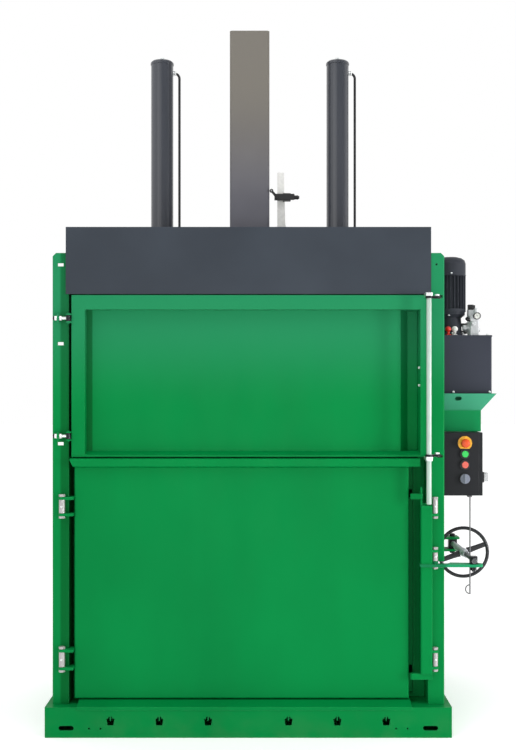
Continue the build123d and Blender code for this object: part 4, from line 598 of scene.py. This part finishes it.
# Power unit
MOTOR = np.array([956.0, -115.0, 0.0])
BELL_TOP = 1870.0
FAN_COVER_FOOT, FAN_COVER_TOP = 2054.4, 2142.0
TERMINAL_LID = (0, 111.8, 1973.0)
TERMINAL_GLAND = (44.6, 82.0, 1960.0)
TANK_TOP = 1766.0
TANK_FRONT, TANK_SIDE = -289.8, 1119.8
TANK_SCREW_Z = 1504.0
CAP_Y = -256.0


def around(radius, z, first, count):
    """Places on a circle about the motor's axis, evenly spaced from a first angle in degrees."""
    t = np.radians(first + 360.0 * np.arange(count) / count)
    ways = np.stack([np.cos(t), np.sin(t), np.zeros(count)], axis=1)
    return [(MOTOR + radius * way + np.array([0, 0, z]), way) for way in ways]


def motor_fittings():
    """Bell bolts, fan-cover screws, the guard's wires, and the lid and gland of the terminal box."""
    bolts = []
    for at, _ in around(62.0, BELL_TOP, 256.0, 4):
        bolts += hex_head(at, DOWN, 11.0, 7.0)
    for at, _ in around(64.0, TANK_TOP + 12.0, 211.0, 6):
        bolts += hex_head(at, UP, 11.0, 7.0)
    for at, way in around(73.6, FAN_COVER_FOOT + 8.6, 266.0, 4):
        bolts.append(dome_screw(at, way, 4.2, 2.6))
    for x in (-36.0, 36.0):
        for z in (1932.0, 2014.0):
            bolts.append(dome_screw(MOTOR + (x, 114.8, z), BACK, 3.6, 2.4))
    put("motor_screws", "machine", pale_zinc, bolts)
    v = np.linspace(0.0, TURN, 8, endpoint=False)
    guard = []
    for r in (10.0, 17.0, 24.0, 31.0, 38.0):
        wire = np.stack([0.9 * np.sin(v) + 0.2, r + 0.9 * np.cos(v)], axis=1)
        guard.append(turned(MOTOR + (0, 0, FAN_COVER_TOP), UP, wire, 48, ring=True))
    band = [(0, 73.2), (0, 74.6), (0.8, 75.2), (4.2, 75.2), (5, 74.6), (5, 73.2)]
    guard.append(turned(MOTOR + (0, 0, FAN_COVER_FOOT), UP, band, 72, ring=True))
    guard.append(plate(MOTOR + TERMINAL_LID, BACK, 92.0, 100.0, 3.2, 7.0))
    put("motor_guard", "machine", casting, guard)
    gland = [(0, 0), (0, 11), (5, 11), (5, 9), (7, 9), (7, 11.4), (15, 11.4), (19, 7.4), (22, 6.6), (22, 0)]
    parts = [turned(MOTOR + TERMINAL_GLAND, RIGHT, gland, 20)]
    put("motor_gland", "machine", black_resin, parts)


def caps():
    """Two ball-shaped caps on stems: a sphere's profile, flattened a little on top."""
    t = np.linspace(-math.pi / 2 + 0.35, math.pi / 2, 14)
    middle = 30.0
    for name, slot, finish, x, r in (
        ("filler_cap", "red_plastic", red_resin, 924.0, 13.6),
        ("breather_cap", "white_paint", white_coat, 954.0, 14.6),
    ):
        ball = [(middle + r * 0.94 * math.sin(a), r * math.cos(a)) for a in t]
        stem = [(0, 0), (0, 9), (3, 9), (3.4, 6.4), (middle - r * 0.9, 6.4)]
        parts = [turned((x, CAP_Y, TANK_TOP - 0.5), UP, stem + ball, 32)]
        parts += hex_head((x, CAP_Y, TANK_TOP - 0.8), UP, 22.0, 7.0)
        put(name, "machine", finish, parts, ["tank_caps"])


def tank_screws():
    """Screws that hold the tank in its carrier, and bolts round its lid."""
    parts = []
    for x in (942.0, 1108.0):
        parts.append(dome_screw((x, TANK_FRONT, TANK_SCREW_Z), FRONT, 5.6, 3.6))
    for y in (-250.0, 20.0):
        parts.append(dome_screw((TANK_SIDE, y, TANK_SCREW_Z), RIGHT, 5.6, 3.6))
    for x in (884.0, 993.0, 1102.0):
        for y in (-276.0, 46.0):
            parts += hex_head((x, y, TANK_TOP - 0.3), UP, 10.0, 5.6)
    put("tank_screws", "machine", pale_zinc, parts)


# Valves on the tank
COIL_X, COIL_Y = 1052.0, -125.0
VALVE_LEFT, VALVE_RIGHT = 1040.5, 1083.8
GAUGE = np.array([1068.0, -208.4, 1860.0])
NEEDLE_ANGLE = 2.4


def valve_fittings():
    """Coil can, unions and plugs round the valve block."""
    z = np.linspace(1863.0, 1893.0, 6)
    coil = np.stack([np.full(6, COIL_X), np.full(6, COIL_Y), z], axis=1)
    union = [
        (0, 0), (0, 15), (1, 16), (8, 16), (8.4, 12), (12, 12),
        (12.4, 14), (28, 14), (30, 12.6), (30, 0),
    ]
    parts = [drawn(coil, 14.6, 18.6, BACK, 32, 0.3)]
    parts.append(turned((VALVE_LEFT, -150, 1806), LEFT, union, 28))
    parts += hex_head((1054, -188.6, 1826), FRONT, 17.0, 8.0)
    parts += hex_head((1072, -159, 1891.6), UP, 15.0, 9.0)
    for y, z in ((-126, 1838), (-152, 1796)):
        parts += hex_head((VALVE_RIGHT, y, z), RIGHT, 17.0, 8.0)
    for y in (-160.0, -120.0):
        parts.append(dome_screw((VALVE_RIGHT, y, 1776), RIGHT, 3.4, 2.6))
    put("valve_fittings", "machine", alloy, parts)


def gauge_fittings():
    """Relief knob and foot plate in black, the gauge's bezel, marks and needle, and its white face."""
    knob = [(0, 0), (0, 5), (8, 5), (8.4, 8.4), (10, 9.4), (22, 9.0), (24, 7.6), (24, 0)]
    bezel = [(-4, 14.0), (-4, 16.5), (2, 16.9), (4, 16.2), (4.6, 14.6), (3.2, 13.6)]
    parts = [turned((VALVE_LEFT, -172, 1838), (-0.75, -0.3, 0.6), knob, 14)]
    parts.append(plate((1062, -140, 1765.6), UP, 56.0, 84.0, 5.0, 5.0))
    parts.append(turned(GAUGE, FRONT, bezel, 40, ring=True))
    for a in np.radians(np.linspace(-45.0, 225.0, 10)):
        way = np.array([math.cos(a), 0.0, math.sin(a)])
        parts.append(drawn(GAUGE + (0, -1.8, 0) + np.outer((10.2, 12.6), way), 0.35, lean=BACK, sides=6))
    point = np.array([math.cos(NEEDLE_ANGLE), 0.0, math.sin(NEEDLE_ANGLE)])
    needle = GAUGE + (0, -2.2, 0) + np.outer((-3.0, 0.0, 9.6), point)
    parts.append(drawn(needle, (0.9, 0.8, 0.25), lean=BACK, sides=8))
    put("valve_knob_and_bezel", "machine", black_resin, parts)
    face = [(0, 0), (0, 14), (1.6, 14), (1.6, 0)]
    put("gauge_dial", "machine", dial_white, [turned(GAUGE, FRONT, face, 40)])


# Press and limit switch
CYLINDER_X = (-427.5, 427.5)
PORT_Z, PLUG_Z, FOOT_Z = 3056.0, 3123.6, 2117.6
FOOT_BOLTS = 61.0
SWITCH_FRONT, SWITCH_Z = -91.8, 2438.0
BRACKET_FRONT = -62.2


def press_fittings():
    """Pipe unions, port plugs, foot bolts and end rings of the two cylinders."""
    union = [(0, 0), (0, 12.4), (9, 12.4), (9.6, 9), (15, 9), (17, 6.4), (17, 0)]
    parts, rings = [], []
    for x in CYLINDER_X:
        parts.append(turned((x + 53.0, 0, PORT_Z), RIGHT, union, 6))
        parts += hex_head((x, 0, PLUG_Z), UP, 17.0, 9.0)
        for a in np.radians(22.5 + 45.0 * np.arange(8)):
            at = (x + FOOT_BOLTS * math.cos(a), FOOT_BOLTS * math.sin(a), FOOT_Z)
            parts += hex_head(at, UP, 9.0, 6.0)
        for z, high in ((3094.0, 10.0), (2128.0, 12.0)):
            loop = [(0, 53.4), (0, 55.4), (1, 56.4), (high - 1, 56.4), (high, 55.4), (high, 53.4)]
            rings.append(turned((x, 0, z), UP, loop, 64, ring=True))
    put("cylinder_unions", "machine", pale_zinc, parts)
    put("cylinder_end_rings", "machine", barrel, rings)


def switch_fittings():
    """Screws, lid, cable gland and roller axle of the limit switch."""
    parts = []
    for x in (128.0, 210.0):
        for z in (2426.0, 2450.0):
            parts.append(dome_screw((x, SWITCH_FRONT, z), FRONT, 2.8, 1.8))
    for z in (2444.0, 2470.0):
        parts.append(dome_screw((160.0, BRACKET_FRONT, z), FRONT, 3.4, 2.2))
    put("switch_screws", "machine", pale_zinc, parts)
    gland = [(0, 0), (0, 10), (4, 10), (4, 8.4), (6, 8.4), (6, 10.4), (13, 10.4), (17, 6.8), (20, 6), (20, 0)]
    parts = [turned((218.6, -77, SWITCH_Z), RIGHT, gland, 20)]
    parts.append(plate((169, -91.6, SWITCH_Z), FRONT, 92, 30, 2.0, 3.0))
    put("switch_gland", "machine", black_resin, parts)
    axle = [(0, 0), (0, 3.4), (1.8, 3.4), (2.6, 2.4), (2.6, 0)]
    parts = [turned((104.5, -102.8, 2466), FRONT, axle, 18)]
    put("roller_axle", "limit_lever", steel, parts)


# Sheet metal
WALL_X = 746.2
RIB_Z = (240.0, 560.0, 920.0, 1240.0, 1580.0, 1900.0)
HALF_RIB = 40.4
COVER_X, COVER_BACK, COVER_SCREW_Z = 802.8, 397.8, 2136.0


def welds():
    """Beads along the side ribs, the gate's lugs, the spindle's fork and the claws."""
    beads = []
    for side in (-1, 1):
        for z in RIB_Z:
            for edge in (-HALF_RIB, HALF_RIB):
                beads.append(weld((side * WALL_X, -366, z + edge), (side * WALL_X, 386, z + edge), 3.4))
    for z in GATE_EYE_Z:
        for edge in (-18.2, 18.2):
            beads.append(weld((-838, -523.2, z + edge), (-830, -523.2, z + edge), 2.4, 6.0))
    for z in (733.0, 743.0, 791.0, 801.0):
        beads.append(weld((756.2, -66, z), (756.2, 46, z), 3.0, 9.0))
    put("weld_beads", "machine", green, beads)
    beads = []
    for y in (-547.6, -528.4):
        beads.append(weld((754, y, 1035), (762, y, 1035), 2.2, 5.0))
    for z in (752.4, 739.6):
        beads.append(weld((757, -556.4, z), (801, -556.4, z), 2.6, 7.0))
    put("lock_beam_welds", "door_lock", green, beads)


def cover_screws():
    """Round screws along the lower edge of the cover's sides and back."""
    parts = []
    for side in (-1, 1):
        for y in (-440.0, -150.0, 130.0, 350.0):
            parts.append(dome_screw((side * COVER_X, y, COVER_SCREW_Z), (side, 0, 0), 6.0, 3.6))
    for x in (-600.0, -200.0, 200.0, 600.0):
        parts.append(dome_screw((x, COVER_BACK, COVER_SCREW_Z), BACK, 6.0, 3.6))
    put("cover_screws", "machine", steel, parts)


lock_wheel()
spindle()
hinge_nipples()
eye_bolts()
bar_fittings()
stile_bolts()
motor_fittings()
caps()
tank_screws()
valve_fittings()
gauge_fittings()
press_fittings()
switch_fittings()
welds()
cover_screws()


# Studio
def softbox(name, size, at, towards, power, spread=180.0):
    """A rectangular lamp aimed at a place, its beam spread over an angle in degrees."""
    light = bpy.data.lights.new(name, "AREA")
    light.shape = "RECTANGLE"
    light.size, light.size_y = size
    light.energy = power
    light.spread = math.radians(spread)
    held = bpy.data.objects.new(name, light)
    held.location = at
    held.rotation_euler = (Vector(towards) - Vector(at)).to_track_quat("-Z", "Y").to_euler()
    bpy.context.scene.collection.objects.link(held)


def studio_floor():
    """A wide level square under the machine, finished pale."""
    reach = 40.0
    mesh = bpy.data.meshes.new("studio_floor")
    corners = [(-reach, -reach, 0.0), (reach, -reach, 0.0), (reach, reach, 0.0), (-reach, reach, 0.0)]
    mesh.from_pydata(corners, [], [(0, 1, 2, 3)])
    floor = bpy.data.objects.new("studio_floor", mesh)
    bpy.context.scene.collection.objects.link(floor)
    f = Finish("studio_floor_paint", Roughness=0.9, Specular_IOR_Level=0.1)
    f.set(Emission_Color=(1.0, 1.0, 1.0, 1.0), Emission_Strength=0.25)
    f.set(Base_Color=f.blend(f.noise(0.8), (0.93, 0.93, 0.93, 1.0), (0.96, 0.96, 0.96, 1.0)))
    mesh.materials.append(f.material)


def studio_world():
    """White behind the machine, overhead and along the horizon, dim to the front right of it."""
    world = bpy.data.worlds.new("studio")
    bpy.context.scene.world = world
    world.use_nodes = True
    tree = world.node_tree
    tree.nodes.clear()
    place = tree.nodes.new("ShaderNodeTexCoord").outputs["Generated"]
    back = tree.nodes.new("ShaderNodeBackground")
    back.inputs["Color"].default_value = (1.0, 1.0, 1.0, 1.0)
    brighter = tree.nodes.new("ShaderNodeMath")
    brighter.operation = "MAXIMUM"
    front_right = ((0.40, -0.92, 0.0), 0.40, 0.80, 0.10)
    horizon = ((0.0, 0.0, 1.0), 0.075, 0.13, 0.0)
    for number, (way, start, end, faint) in enumerate((front_right, horizon)):
        dot = tree.nodes.new("ShaderNodeVectorMath")
        dot.operation = "DOT_PRODUCT"
        dot.inputs[1].default_value = way
        ramp = tree.nodes.new("ShaderNodeMapRange")
        for key, value in (("From Min", start), ("From Max", end), ("To Min", 1.0), ("To Max", faint)):
            ramp.inputs[key].default_value = value
        tree.links.new(place, dot.inputs[0])
        tree.links.new(dot.outputs["Value"], ramp.inputs["Value"])
        tree.links.new(ramp.outputs[0], brighter.inputs[number])
    out = tree.nodes.new("ShaderNodeOutputWorld")
    tree.links.new(brighter.outputs[0], back.inputs["Strength"])
    tree.links.new(back.outputs[0], out.inputs[0])


studio_floor()
studio_world()
softbox("overhead", (6.0, 4.0), (0.0, -2.6, 6.4), (0.0, 0.0, 0.6), 98.0)
softbox("left_front", (4.6, 2.6), (-2.75, -5.6, 3.7), (-0.2, 0.0, 2.3), 32.0)
softbox("right_key", (0.7, 1.6), (5.2, -2.7, 1.1), (0.3, -0.5, 1.0), 20.0, 60.0)
softbox("front_fill", (1.6, 1.2), (0.1, -6.2, 1.2), (0.1, 0.0, 1.1), 11.0, 90.0)

# Camera where the photograph was taken from, its frame shifted by whole pixels of the picture
PICTURE_WIDTH = 516
scene = bpy.context.scene
scene.view_settings.view_transform = "Standard"
lens = bpy.data.cameras.new("camera")
lens.sensor_fit = "HORIZONTAL"
lens.sensor_width = 36.0
lens.lens = 75.98
lens.shift_x = -5 / PICTURE_WIDTH
lens.shift_y = 13 / PICTURE_WIDTH
camera = bpy.data.objects.new("camera", lens)
camera.location = (0.064, -5.312, 1.522)
camera.rotation_euler = (math.radians(90), 0.0, 0.0)
scene.collection.objects.link(camera)
scene.camera = camera
